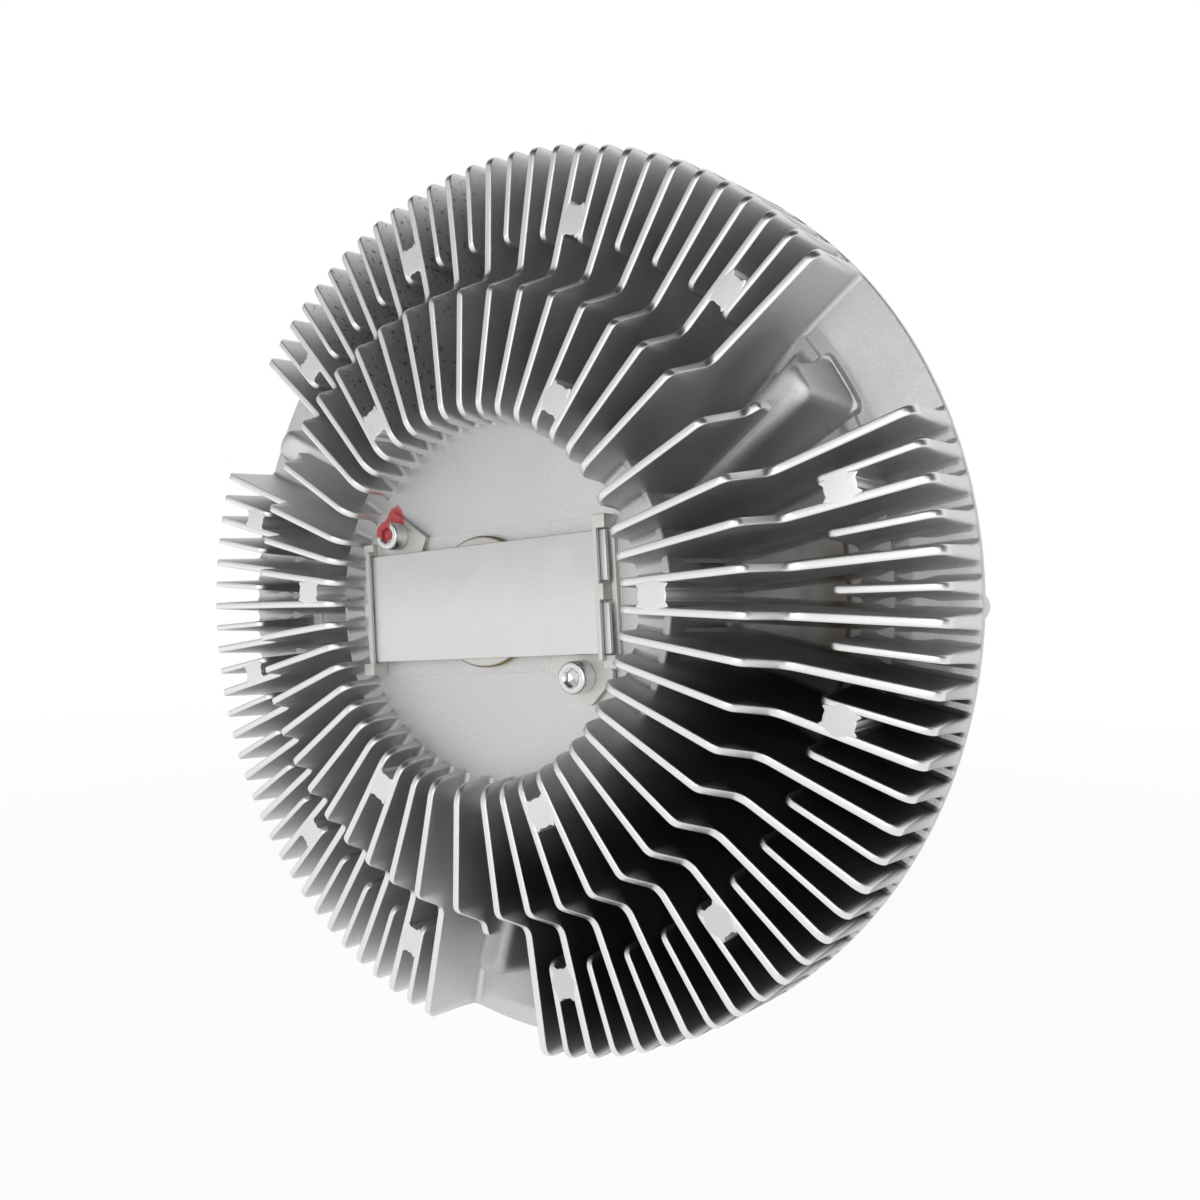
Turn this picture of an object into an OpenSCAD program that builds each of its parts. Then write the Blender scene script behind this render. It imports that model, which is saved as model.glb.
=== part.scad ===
// Viscous fan clutch with a bimetal strip: a finned cover and housing that turn on a driven shaft.
// The spin axis is Y, the finned front faces -Y and the origin is the centre of the rear drive face.

/* [Overall] */
// Outside diameter of the cover and housing rims
rim_d = 250; // [240:1:270]
// Distance from the rear drive face to the front plane of the rim
rim_z = 78; // [75:1:90]

/* [Front cover] */
// Thickness of the cover's rim
rim_t = 10; // [8:0.5:14]
// Radius of the rim's rounded front edge
rim_round = 2; // [1:0.1:3]
// Taper of the rim towards the back, measured on its radius
rim_taper = 3.4; // [2.5:0.1:3.5]
// Depth of the cover plate behind the front plane of the rim
plate_depth = 16; // [14:0.5:20]
// Height of the flat centre disc above the rim plane
disc_h = 20; // [16:0.5:24]
// Outside radius of the hub that holds the reservoir
hub_r = 58; // [56:0.5:62]
// Inside radius of the reservoir
reservoir_r = 49; // [44:0.5:50]
// Wall over the reservoir
disc_wall = 6; // [4:0.5:8]
// Depth of the slot floor at the hub, behind the rim plane
floor_drop = 9; // [5:0.5:10]
// Radius of the small step in the slot floor
floor_step_r = 94; // [90:0.5:98]
// Outer radius of the land that starts at that step
land_end_r = 106; // [104:0.5:108]
// Height of the land
land_h = 1; // [0.5:0.1:1.5]
// Width of the land's strips along the fins beside a gap
land_strip = 2.2; // [1:0.1:2.5]
// Radius where the slot floor meets the flat rim
floor_end_r = 110; // [109:0.5:114]
// Height of the milled band under the strip
band_h = 0.4; // [0.2:0.1:0.8]
// Width of the milled band
band_w = 40; // [39.5:0.5:42]
// Length of the milled band
band_l = 88; // [88:0.5:90]

/* [Cooling fins] */
// Sectors of fins, with a gap between each two
sectors = 3; // [2:1:4]
// Angle of each gap
gap_angle = 20; // [16:1:26]
// Long fins in a sector
fins_per_sector = 15; // [11:1:16]
// Angle of the first gap's centre
gap_start = 30; // [0:5:90]
// Radius of the fins' inner ends at the disc
fin_in_r = 48.5; // [46:0.5:52]
// Height of the inner part of a long fin above the rim plane
fin_high = 33; // [28:0.5:38]
// Height of the outer part of all fins above the rim plane
fin_low = 21.2; // [17:0.2:24]
// Radius where a long fin starts to step down
fin_step_r = 83.6; // [80:0.2:86]
// Radius where the step ends
fin_foot_r = 89.3; // [87:0.1:92]
// Radius of the short fins' inner ends
short_in_r = 97.3; // [94:0.1:102]
// Distance from the rim to the fins' outer ends
fin_edge = 1; // [0.5:0.1:3]
// Lean of the outer ends over their height
fin_lean = 2.6; // [0.5:0.1:4]
// Thickness of a long fin at its top
long_fin_t = 2; // [1.6:0.1:2.4]
// Thickness of a short fin at its top
short_fin_t = 1.75; // [1.4:0.05:2.2]
// Draft on each side of a fin above the height of the outer part, in degrees
fin_draft_high = 0.4; // [0.2:0.1:0.8]
// Draft on each side of a fin below that height, in degrees
fin_draft_low = 2.2; // [1:0.1:2.4]
// Diameter of the ejector columns between fins
column_d = 7.8; // [6:0.2:8.4]
// Radius of the inner columns
column_in_r = 60; // [57:0.5:64]
// Radius of the outer columns
column_out_r = 103.7; // [102:0.1:108]

/* [Return ridges] */
// Height of a ridge's crest at the hub, above the rim plane
ridge_low = 2; // [0:0.5:4]
// Height of a ridge's crest at its outer end
ridge_high = 20; // [17:0.2:21]
// Radius of the outer end
ridge_end_r = 104.8; // [104.5:0.1:106]
// Width of a ridge at its crest
ridge_w = 11; // [10:0.5:13]
// Radius of a ridge's rounded crest
ridge_round = 4.6; // [3:0.1:4.9]
// Lean of a ridge's sides, in degrees
ridge_side = 7; // [5:1:12]
// Diameter of the drilled return passage
passage_d = 4; // [3:0.5:4]
// Height of the raised pad round a ridge's outer end, above the rim plane
pad_h = 1; // [0.4:0.1:1.6]
// Outer radius of the pad
pad_r = 108.4; // [107:0.2:110]
// Half angle of the pad
pad_half_angle = 4.6; // [4.2:0.1:6]

/* [Rear housing] */
// Radial width of the rim, from the working chamber to the outside
rim_w = 16.2; // [16:0.1:18]
// Thickness of the housing's rim flange
flange_t = 8; // [6:0.5:10]
// Wall of the housing
wall_t = 3.6; // [3:0.1:3.7]
// Thickness of the housing's back
back_t = 6.5; // [5:0.5:9]
// Outside radius of the bearing hub
bearing_hub_r = 46; // [43:0.5:50]
// Outside radius of the ring that centres the fan
fan_pilot_r = 76; // [74:0.5:77]
// Thickness of that ring
fan_pilot_t = 6; // [4:0.5:8]
// Height of the ring's step beyond the fan face
fan_pilot_h = 4; // [2:0.5:5]
// Width of the shoulder round that step
fan_seat_w = 1.5; // [1:0.1:2]
// Distance from the rim plane back to the fan face
fan_face_depth = 58; // [56:0.5:62]
// Bolt circle of the fan
fan_pcd = 178; // [176:1:190]
// Fan bolts
fan_bolts = 6; // [4:1:8]
// Diameter of the fan bolt bosses
fan_boss_d = 20; // [16:0.5:22]
// Tapping diameter of the fan bolts
fan_tap_d = 6.8; // [5:0.1:8.5]
// Fins on the outer part of the back
rear_fins = 48; // [36:6:60]
// Ribs between the bearing hub and the pilot ring
rear_ribs = 24; // [18:6:30]
// Thickness of the rear fins and ribs
rear_fin_t = 2.6; // [2:0.1:3.2]

/* [Rotor] */
// Thickness of the rotor's plate
rotor_t = 5; // [4:0.5:7]
// Height of the shear rings
ring_h = 8; // [6:0.5:10]
// Thickness of a shear ring
ring_t = 2.4; // [1.8:0.1:2.6]
// Radial pitch from one ring of the cover to the next
ring_pitch = 6; // [5.8:0.1:8]
// Radius of the cover's first ring
ring_first_r = 68; // [67:0.5:70]
// Gap between a ring's tip and the face opposite
tip_gap = 1; // [0.6:0.1:2]
// Gap behind the rotor
rotor_back_gap = 1.5; // [1:0.1:3]
// Gap round the rotor's rim
rotor_rim_gap = 2; // [1.5:0.1:3]
// Balance holes in the rotor
balance_holes = 6; // [3:1:8]
// Diameter of the balance holes
balance_hole_d = 10; // [6:0.5:14]

/* [Drive shaft] */
// Diameter of the drive flange
drive_flange_d = 104; // [98:1:112]
// Thickness of the drive flange
drive_flange_t = 9; // [7:0.5:12]
// Bolt circle of the drive flange
drive_pcd = 80; // [76:1:84]
// Bolts of the drive flange
drive_bolts = 4; // [3:1:6]
// Diameter of the drive bolt holes
drive_bolt_d = 10.5; // [8.4:0.1:11]
// Diameter of the centring recess in the drive face
drive_pilot_d = 45; // [36:1:50]
// Depth of the centring recess
drive_pilot_depth = 5; // [3:0.5:6]
// Diameter of the shoulder behind the bearing
shoulder_d = 44; // [42:0.5:45]
// Diameter of the rotor's seat
rotor_seat_d = 30; // [28:0.5:32]
// Diameter of the threaded end
thread_d = 24; // [20:1:26]
// Width of the rotor nut across its flats
nut_af = 36; // [34:1:41]
// Thickness of the rotor nut
nut_t = 6; // [5:0.5:6]

/* [Bearing] */
// Bore of the bearing
bearing_bore = 35; // [34:0.5:36]
// Outside diameter of the bearing
bearing_od = 72; // [71:0.5:74]
// Width of the bearing
bearing_w = 17; // [16:0.5:19]
// Diameter of the balls
ball_d = 11; // [10:0.1:11.4]
// Number of balls
balls = 9; // [7:1:10]
// Thickness of the circlip
circlip_t = 2; // [1.5:0.1:2.5]
// Depth of the circlip's groove
circlip_depth = 2; // [1.5:0.1:2.5]
// Width of the circlip's ring
circlip_w = 5; // [4:0.2:5.4]

/* [Valve] */
// Radius of the reservoir plate
plate_r = 62; // [61:0.5:65]
// Thickness of the reservoir plate
plate_t = 1.5; // [1:0.1:1.6]
// Diameter of the feed opening
feed_d = 8; // [5:0.5:10]
// Distance of the feed opening from the axis
feed_x = 39; // [36:0.5:40]
// Distance of the valve lever's rivets from the axis
lever_pivot_x = 38; // [34:0.5:39]
// Thickness of the valve lever
lever_t = 0.8; // [0.6:0.1:1.2]
// Width of the valve lever's arm
lever_w = 12; // [9:0.5:15]
// Diameter of the control pin
pin_d = 6; // [5:0.5:8]
// Diameter of the pin bush's flange
bush_flange_d = 36.4; // [33:0.2:38]
// Thickness of the pin bush's flange
bush_flange_t = 2.5; // [2:0.1:2.8]
// Diameter of the pin bush's spigot
bush_spigot_d = 20; // [16:0.5:24]
// Section of the pin's sealing ring
pin_ring_d = 2; // [1.6:0.1:2.4]

/* [Bimetal strip and brackets] */
// Turn of the strip about the spin axis, in degrees
strip_angle = 4.2; // [0:0.2:10]
// Length of the strip over its ears
strip_l = 85.8; // [85.4:0.2:86.4]
// Width of the strip
strip_w = 31.3; // [28:0.1:32]
// Thickness of the strip
strip_t = 1.2; // [0.8:0.1:1.4]
// Height of the strip's underside above the disc
strip_lift = 3.6; // [3.4:0.1:4]
// Width of the notch between a strip end's ears
notch_w = 5.4; // [4:0.2:7]
// Depth of that notch
notch_l = 2.6; // [2.2:0.1:3]
// Sheet thickness of the brackets' feet
sheet_t = 1.5; // [1:0.1:1.6]
// Length of a bracket across the strip
bracket_l = 39; // [38:0.2:39.4]
// Thickness of a bracket's upright, along the strip
upright_t = 1.3; // [1.1:0.1:1.6]
// Distance of an upright's inner face from the axis
upright_x = 39.8; // [39.4:0.1:40]
// Width of a bracket's end posts, along the strip
post_w = 3.9; // [3.6:0.1:4]
// Length of the tooth that fits the strip's notch, from the upright's inner face
tooth_l = 2.5; // [2:0.1:3]
// Height of the upright above the strip
bridge_h = 1.4; // [1:0.1:2]
// Distance of the bracket screws from the axis, along the strip
screw_x = 31.6; // [30.5:0.1:32]
// Distance of the bracket screws from the axis, across the strip
screw_y = 21.4; // [21.2:0.1:22]
// Distance of the foot's corner from the axis, along the strip
tab_x = 33.8; // [33:0.2:35]
// Distance of the foot's corner from the axis, across the strip
tab_y = 29.2; // [28.6:0.2:30]
// Distance of the foot's inner end from the axis, along the strip
foot_x = 20.5; // [20:0.5:24]

/* [Screws] */
// Nominal diameter of the bracket and rim screws
screw_d = 5; // [4:0.5:5]
// Diameter of their heads
screw_head_d = 8.5; // [7.5:0.1:8.5]
// Height of their heads
screw_head_h = 5; // [4:0.1:5.5]
// Width of their hexagon sockets across the flats
socket_af = 4; // [3:0.1:4.5]
// Screws round the rim
rim_screws = 12; // [8:1:16]
// Screws of the reservoir plate
plate_screws = 3; // [3:1:6]
// Diameter of the plate screws
plate_screw_d = 4; // [3:0.5:4]
// Diameter of the plate screws' heads
plate_head_d = 7; // [6:0.2:7.4]

/* [Clearances] */
// Radial room of a piece in its seat
seat_gap = 0.02; // [0.01:0.01:0.05]
// Radial running clearance of the control pin
pin_gap = 0.05; // [0.02:0.01:0.1]
// Gap between pieces that move past each other
run_gap = 0.3; // [0.2:0.05:0.4]

/* [Hidden] */
$fn = 96;

// Length by which a joined shape is sunk into the shape that carries it
sink = 1.5;
// Straight pieces that stand for one rounded corner
corner_steps = 4;

// Radii, from the rim inwards
rim_r = rim_d / 2;
chamber_r = rim_r - rim_w;
joint_r = rim_r - rim_taper;
spigot_r = chamber_r + 2.5;
wall_r = chamber_r + wall_t;
screw_r = wall_r + 0.5 + screw_head_d / 2;
rotor_r = chamber_r - rotor_rim_gap;
fin_out_r = rim_r - fin_edge;
cover_rings = floor((rotor_r - ring_pitch - ring_first_r) / ring_pitch) + 1;
function cover_ring_r(i) = ring_first_r + i * ring_pitch;
function rotor_ring_r(i) = ring_first_r + (i + 0.5) * ring_pitch;
scraper_in_r = rotor_ring_r(cover_rings - 1) + ring_t / 2 + 1;

// Distances from the drive face, along the axis
plate_z = rim_z - plate_depth;
joint_z = rim_z - rim_t;
ring_tip_z = plate_z - ring_h;
rotor_z = ring_tip_z - tip_gap;
rotor_back_z = rotor_z - rotor_t;
chamber_z = rotor_back_z - rotor_back_gap;
back_z = chamber_z - back_t;
bearing_lip = 3.5;
bearing_z = chamber_z - bearing_lip;
bearing_rear_z = bearing_z - bearing_w;
hub_end_z = bearing_rear_z - circlip_t - 3;
fan_face_z = rim_z - fan_face_depth;
flange_z = joint_z - flange_t;
disc_z = rim_z + disc_h;
band_z = disc_z + band_h;
roof_z = disc_z - disc_wall;
strip_z = disc_z + strip_lift;
lever_z = plate_z + run_gap;

// Slot floor: radius and distance from the rim plane
hub_foot_r = hub_r + 0.8;
mid_floor_r = (hub_r + floor_step_r) / 2 + 4;
mid_floor_drop = floor_drop - 2;
step_drop = 3.6;

// Corner b of the outline a, b, c as an arc of radius r
function round_corner(a, b, c, r) =
    let (
        u = (a - b) / norm(a - b),
        v = (c - b) / norm(c - b),
        half = acos(u * v) / 2,
        centre = b + (u + v) / norm(u + v) * r / sin(half),
        p = b + u * r / tan(half) - centre,
        q = b + v * r / tan(half) - centre,
        from = atan2(p[1], p[0]),
        turn = atan2(p[0] * q[1] - p[1] * q[0], p * q)
    )
    [for (k = [0 : corner_steps]) let (t = from + turn * k / corner_steps) centre + r * [cos(t), sin(t)]];

// Outline through corners of the form [x, y, radius]
function rounded(corners) =
    let (n = len(corners), at = [for (c = corners) [c[0], c[1]]])
    [for (i = [0 : n - 1]) each corners[i][2] == 0
        ? [at[i]]
        : round_corner(at[(i + n - 1) % n], at[i], at[(i + 1) % n], corners[i][2])];

// Outline from its right half, listed upwards, and the mirror of it
function mirrored(half) =
    concat(half, [for (i = [len(half) - 1 : -1 : 0]) [-half[i][0], half[i][1]]]);

// Places a shape modelled along +Z, front up, in the part's frame
module in_frame() {
    rotate([90, 0, 0]) children();
}

// Copies round the axis
module around(count, start = 0) {
    for (i = [0 : count - 1])
        rotate([0, 0, start + i * 360 / count]) children();
}

// Block between two values of x, of y and of z
module block(x, y, z) {
    translate([x[0], y[0], z[0]]) cube([x[1] - x[0], y[1] - y[0], z[1] - z[0]]);
}

module ring(outer_r, inner_r, low, high) {
    translate([0, 0, low])
        difference() {
            cylinder(r = outer_r, h = high - low);
            translate([0, 0, -1]) cylinder(r = inner_r, h = high - low + 2);
        }
}

// Socket head cap screw, its head's seat at z = 0 and its shank pointing to -Z
module cap_screw(shank_l) {
    translate([0, 0, -shank_l]) cylinder(d = screw_d - 2 * seat_gap, h = shank_l + 0.5);
    difference() {
        cylinder(d = screw_head_d, h = screw_head_h);
        translate([0, 0, screw_head_h / 2]) cylinder(d = socket_af / cos(30), h = screw_head_h, $fn = 6);
    }
}

// Fin in the XZ plane: an outline of radius and height, thicker towards its foot by two drafts
module fin(outline, top_t, top_h) {
    foot_h = -floor_drop - sink - 1;
    half_top = top_t / 2;
    half_low = half_top + (top_h - fin_low) * tan(fin_draft_high);
    half_foot = half_low + (fin_low - foot_h) * tan(fin_draft_low);
    section = mirrored(concat(
        [[half_foot, foot_h], [half_low, fin_low]],
        top_h > fin_low ? [[half_top, top_h]] : []
    ));
    translate([0, 0, rim_z])
        intersection() {
            translate([0, half_foot, 0])
                rotate([90, 0, 0])
                    linear_extrude(2 * half_foot) polygon(outline);
            rotate([90, 0, 90]) linear_extrude(rim_r) polygon(section);
        }
}

// Underside of a fin, sunk into the slot floor from the rim to the hub
fin_under = [
    [fin_out_r, -sink, 0], [floor_end_r, -sink, 0], [floor_step_r, -step_drop - sink, 0],
    [mid_floor_r, -mid_floor_drop - sink, 0]
];
fin_hub_end = [[hub_r - 1, -floor_drop - sink, 0], [hub_r - 1, disc_h - 3, 0], [fin_in_r, disc_h - 3, 0]];
fin_rise = [[fin_in_r + 1.1, fin_high, 5], [fin_step_r, fin_high, 3], [fin_foot_r, fin_low, 4]];
fin_rim_end = [[fin_out_r - fin_lean, fin_low, 3], [fin_out_r, 0, 0]];
long_fin_outline = rounded(concat(fin_hub_end, fin_rise, fin_rim_end, fin_under));
short_fin_outline = rounded(concat(
    [[short_in_r, -step_drop - sink, 0], [short_in_r + 0.6, fin_low, 3]],
    fin_rim_end, [[fin_out_r, -sink, 0], [floor_end_r, -sink, 0]]
));
middle_fin_end = fin_foot_r + 5;
middle_fin_outline = rounded(concat(
    fin_hub_end, fin_rise, [[fin_foot_r + 3.7, fin_low - 0.6, 1.2], [middle_fin_end, ridge_high - 4, 0]],
    [[middle_fin_end, -step_drop - sink, 0], [mid_floor_r, -mid_floor_drop - sink, 0]]
));

sector_angle = 360 / sectors;
fin_step_angle = (sector_angle - gap_angle) / (fins_per_sector - 1);

// Places of the ejector columns, counted in fin steps from a sector's first fin
inner_columns = [2.5, fins_per_sector - 3.5];
outer_columns = [0.75, 4.75, fins_per_sector - 5.75, fins_per_sector - 1.75];

module column(step, radius, low, high) {
    rotate([0, 0, gap_angle / 2 + step * fin_step_angle])
        translate([radius, 0, rim_z + low])
            cylinder(d = column_d, h = high - low, $fn = 32);
}

// Fins and columns of one sector, counted from the gap before it
module fin_sector() {
    for (i = [0 : fins_per_sector - 1])
        rotate([0, 0, gap_angle / 2 + i * fin_step_angle])
            fin(long_fin_outline, long_fin_t, fin_high);
    for (i = [0 : fins_per_sector - 2])
        rotate([0, 0, gap_angle / 2 + (i + 0.5) * fin_step_angle])
            fin(short_fin_outline, short_fin_t, fin_low);
    for (step = inner_columns)
        column(step, column_in_r, -floor_drop - sink, fin_high);
    for (step = outer_columns)
        column(step, column_out_r, -step_drop - sink, fin_low);
}

ridge_start_r = hub_r - 1;
ridge_slope = atan2(ridge_high - ridge_low, ridge_end_r - ridge_start_r);
ridge_depth = 2 * ridge_high;
ridge_foot_w = ridge_w + 2 * ridge_depth * tan(ridge_side);

// Section across a ridge, its crest at height 0
ridge_section = rounded([
    [-ridge_foot_w / 2, -ridge_depth, 0], [ridge_foot_w / 2, -ridge_depth, 0],
    [ridge_w / 2, 0, ridge_round], [-ridge_w / 2, 0, ridge_round]
]);

// Inclined ridge over a return passage: a bar along the crest, trimmed by the ridge's side view
module ridge() {
    above = 2 * ridge_high;
    end_lean = 1.5;
    over = ridge_high;
    side = [
        [ridge_start_r, -floor_drop - sink], [ridge_start_r, above], [ridge_end_r, above],
        [ridge_end_r, ridge_high], [ridge_end_r + end_lean, -step_drop - sink],
        [floor_step_r, -step_drop - sink], [mid_floor_r, -mid_floor_drop - sink]
    ];
    bar_l = (ridge_end_r - ridge_start_r) / cos(ridge_slope) + 2 * over;
    translate([0, 0, rim_z])
        intersection() {
            translate([ridge_start_r, 0, ridge_low])
                rotate([0, -ridge_slope, 0])
                    translate([-over, 0, 0])
                        rotate([90, 0, 90]) linear_extrude(bar_l) polygon(ridge_section);
            translate([0, ridge_foot_w / 2, 0])
                rotate([90, 0, 0])
                    linear_extrude(ridge_foot_w) polygon(side);
        }
}

// Low land on the slot floor, cut away in the gaps but for a strip along their fins
module floor_land() {
    drop_at_end = step_drop * (floor_end_r - land_end_r) / (floor_end_r - floor_step_r);
    open_angle = gap_angle / 2 - atan((long_fin_t + land_strip) / floor_step_r);
    difference() {
        rotate_extrude()
            polygon([
                [floor_step_r, rim_z - step_drop - sink], [land_end_r, rim_z - drop_at_end - sink],
                [land_end_r, rim_z - drop_at_end + land_h], [floor_step_r, rim_z - step_drop + land_h]
            ]);
        around(sectors, gap_start)
            translate([0, 0, rim_z - 2 * floor_drop])
                linear_extrude(3 * floor_drop)
                    polygon([[0, 0], [rim_r, -rim_r * tan(open_angle)], [rim_r, rim_r * tan(open_angle)]]);
    }
}

// Raised pad round the outer end of a ridge
module ridge_pad() {
    inner = ridge_end_r - ridge_w / 2;
    spread = tan(pad_half_angle);
    outline = rounded([
        [inner, -inner * spread, 0], [pad_r, -pad_r * spread, 3],
        [pad_r, pad_r * spread, 3], [inner, inner * spread, 0]
    ]);
    translate([0, 0, rim_z - step_drop - sink])
        linear_extrude(step_drop + sink + pad_h) polygon(outline);
}

inlet_r = ridge_end_r - passage_d / 2 - 1;
passage_below = 6;

// Return passage: a groove in the working chamber, a bore into the ridge and a bore down to the reservoir
module return_passage() {
    groove_depth = 3;
    groove_l = chamber_r - 2 - inlet_r;
    inlet_top = rim_z + ridge_high - passage_below;
    run = inlet_r - reservoir_r + 4;
    translate([inlet_r, -passage_d / 2, plate_z - 1]) cube([groove_l, passage_d, groove_depth + 1]);
    translate([inlet_r, 0, plate_z - 1]) cylinder(d = passage_d, h = inlet_top - plate_z + 1, $fn = 32);
    translate([inlet_r, 0, inlet_top - passage_d / 2])
        rotate([0, -90 - ridge_slope, 0])
            cylinder(d = passage_d, h = run / cos(ridge_slope), $fn = 32);
}

scraper_angle = 5;
scraper_w = 8;
scraper_peg_d = 4;
scraper_peg_l = 5;
scraper_mid_r = (scraper_in_r + chamber_r - run_gap) / 2;

bracket_boss_d = screw_d + 6;
bracket_boss_h = 4;
bracket_thread_l = disc_wall + bracket_boss_h - 2;

// Both ends of the strip, half a turn apart
module strip_ends() {
    for (side = [0, 180])
        rotate([0, 0, strip_angle + side]) children();
}

module bracket_screw_places() {
    strip_ends() translate([screw_x, -screw_y, 0]) children();
}

// Half section of the cover: radius and distance from the drive face
groove_front = joint_z - 1.8;
groove_back = groove_front - 2.6;
groove_r = spigot_r - 2.2;
cover_section = concat(
    [
        [bush_spigot_d / 2 + seat_gap, roof_z], [bush_spigot_d / 2 + seat_gap, disc_z],
        [hub_r - 0.8, disc_z], [hub_r, disc_z - 0.8], [hub_foot_r, rim_z - floor_drop],
        [mid_floor_r, rim_z - mid_floor_drop], [floor_step_r, rim_z - step_drop], [floor_end_r, rim_z]
    ],
    [for (k = [0 : corner_steps]) let (a = 90 - 90 * k / corner_steps)
        [rim_r - rim_round + rim_round * cos(a), rim_z - rim_round + rim_round * sin(a)]],
    [
        [joint_r, joint_z], [spigot_r, joint_z], [spigot_r, groove_front], [groove_r, groove_front],
        [groove_r, groove_back], [spigot_r, groove_back], [spigot_r, plate_z]
    ],
    [for (i = [cover_rings - 1 : -1 : 0]) each [
        [cover_ring_r(i) + ring_t / 2, plate_z], [cover_ring_r(i) + ring_t / 2, ring_tip_z],
        [cover_ring_r(i) - ring_t / 2, ring_tip_z], [cover_ring_r(i) - ring_t / 2, plate_z]
    ]],
    [[reservoir_r, plate_z], [reservoir_r, roof_z]]
);

rim_thread_l = rim_t - 1.5;
plate_thread_l = 6;
plate_screw_r = (reservoir_r + hub_r) / 2 + 2.5;

// Low flat under the strip and its brackets
module milled_band() {
    intersection() {
        rotate([0, 0, strip_angle])
            translate([-band_l / 2, -band_w / 2, disc_z - 1]) cube([band_l, band_w, band_h + 1]);
        cylinder(r = fin_in_r - 1, h = band_z);
    }
}

// Finned front cover, one casting
module front_cover() {
    color("lightgray") in_frame()
        difference() {
            union() {
                rotate_extrude() polygon(cover_section);
                floor_land();
                milled_band();
                around(sectors, gap_start) {
                    fin_sector();
                    fin(middle_fin_outline, long_fin_t, fin_high);
                    ridge();
                    ridge_pad();
                }
                bracket_screw_places()
                    translate([0, 0, roof_z - bracket_boss_h])
                        cylinder(d = bracket_boss_d, h = band_z - roof_z + bracket_boss_h);
            }
            translate([0, 0, roof_z]) cylinder(d = bush_spigot_d + 2 * seat_gap, h = disc_wall + 1);
            around(sectors, gap_start) {
                return_passage();
                rotate([0, 0, scraper_angle])
                    translate([scraper_mid_r, 0, plate_z - 1])
                        cylinder(d = scraper_peg_d, h = scraper_peg_l + 1.5);
            }
            around(rim_screws)
                translate([screw_r, 0, joint_z - 1]) cylinder(d = screw_d, h = rim_thread_l + 1);
            around(plate_screws)
                translate([plate_screw_r, 0, plate_z - 1])
                    cylinder(d = plate_screw_d, h = plate_thread_l + 1);
            bracket_screw_places()
                translate([0, 0, band_z - bracket_thread_l])
                    cylinder(d = screw_d, h = bracket_thread_l + 1);
        }
}

// Half section of the housing: radius and distance from the drive face
bearing_seat_r = bearing_od / 2 + seat_gap;
bearing_lip_r = bearing_od / 2 - 5;
groove_z = bearing_rear_z - circlip_t - 2 * seat_gap;
back_corner = 6;
housing_section = [
    [bearing_lip_r, bearing_z], [bearing_lip_r, chamber_z], [chamber_r, chamber_z],
    [chamber_r, plate_z - 1], [spigot_r + seat_gap, plate_z - 1], [spigot_r + seat_gap, joint_z],
    [joint_r, joint_z], [joint_r, flange_z], [wall_r, flange_z], [wall_r, back_z + back_corner],
    [wall_r - back_corner, back_z], [bearing_hub_r, back_z], [bearing_hub_r, hub_end_z],
    [bearing_seat_r, hub_end_z], [bearing_seat_r, groove_z], [bearing_seat_r + circlip_depth, groove_z],
    [bearing_seat_r + circlip_depth, bearing_rear_z], [bearing_seat_r, bearing_rear_z],
    [bearing_seat_r, bearing_z]
];

rear_fin_h = 16;
rear_rib_h = 12;
fan_tap_l = fan_face_depth - (rim_z - back_z) - 2;

// Radial plate of constant thickness, from an outline of radius and distance from the drive face
module radial_plate(outline) {
    translate([0, rear_fin_t / 2, 0]) rotate([90, 0, 0]) linear_extrude(rear_fin_t) polygon(outline);
}

// Fin on the outer part of the housing's back
rear_fin_outline = rounded([
    [fan_pilot_r - 1, back_z + 1, 0], [fan_pilot_r - 1, back_z - rear_fin_h, 0],
    [fan_pcd / 2 + 6, back_z - rear_fin_h, 5], [wall_r - 1.5, back_z - 2, 3],
    [wall_r - 1, back_z + back_corner, 0], [wall_r - back_corner, back_z + 1, 0]
]);
// Rib between the bearing hub and the fan's pilot ring
rear_rib_outline = [
    [bearing_hub_r - 1, back_z + 1], [bearing_hub_r - 1, back_z - rear_rib_h],
    [fan_pilot_r - fan_pilot_t + 1, back_z - rear_rib_h], [fan_pilot_r - fan_pilot_t + 1, back_z + 1]
];

// Finned rear housing, one casting, with the bearing hub and the fan's seat
module rear_housing() {
    color("silver") in_frame()
        difference() {
            union() {
                rotate_extrude() polygon(housing_section);
                ring(fan_pilot_r, fan_pilot_r - fan_pilot_t, fan_face_z - fan_pilot_h, back_z + 1);
                ring(fan_pilot_r + fan_seat_w, fan_pilot_r - 1, fan_face_z, back_z + 1);
                around(rear_fins, 180 / rear_fins) radial_plate(rear_fin_outline);
                around(rear_ribs, 180 / rear_ribs) radial_plate(rear_rib_outline);
                around(fan_bolts)
                    translate([fan_pcd / 2, 0, fan_face_z])
                        cylinder(d = fan_boss_d, h = back_z - fan_face_z + 1);
            }
            around(fan_bolts)
                translate([fan_pcd / 2, 0, fan_face_z - 1]) cylinder(d = fan_tap_d, h = fan_tap_l + 1);
            around(rim_screws)
                translate([screw_r, 0, flange_z - 1]) cylinder(d = screw_d + 0.5, h = flange_t + 2);
        }
}

// Sealing ring in the cover's groove
module housing_o_ring() {
    section = spigot_r - groove_r - 2 * seat_gap;
    color("dimgray") in_frame()
        rotate_extrude()
            translate([(spigot_r + groove_r) / 2, (groove_front + groove_back) / 2])
                circle(d = section, $fn = 32);
}

// Screws that hold the cover on the housing, from behind
module housing_screws() {
    color("gray") in_frame()
        around(rim_screws)
            translate([screw_r, 0, flange_z]) rotate([180, 0, 0]) cap_screw(flange_t + rim_thread_l - 0.5);
}

shaft_seat_r = bearing_bore / 2 - seat_gap;
shaft_end_z = rotor_z + nut_t + 0.3;

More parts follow.
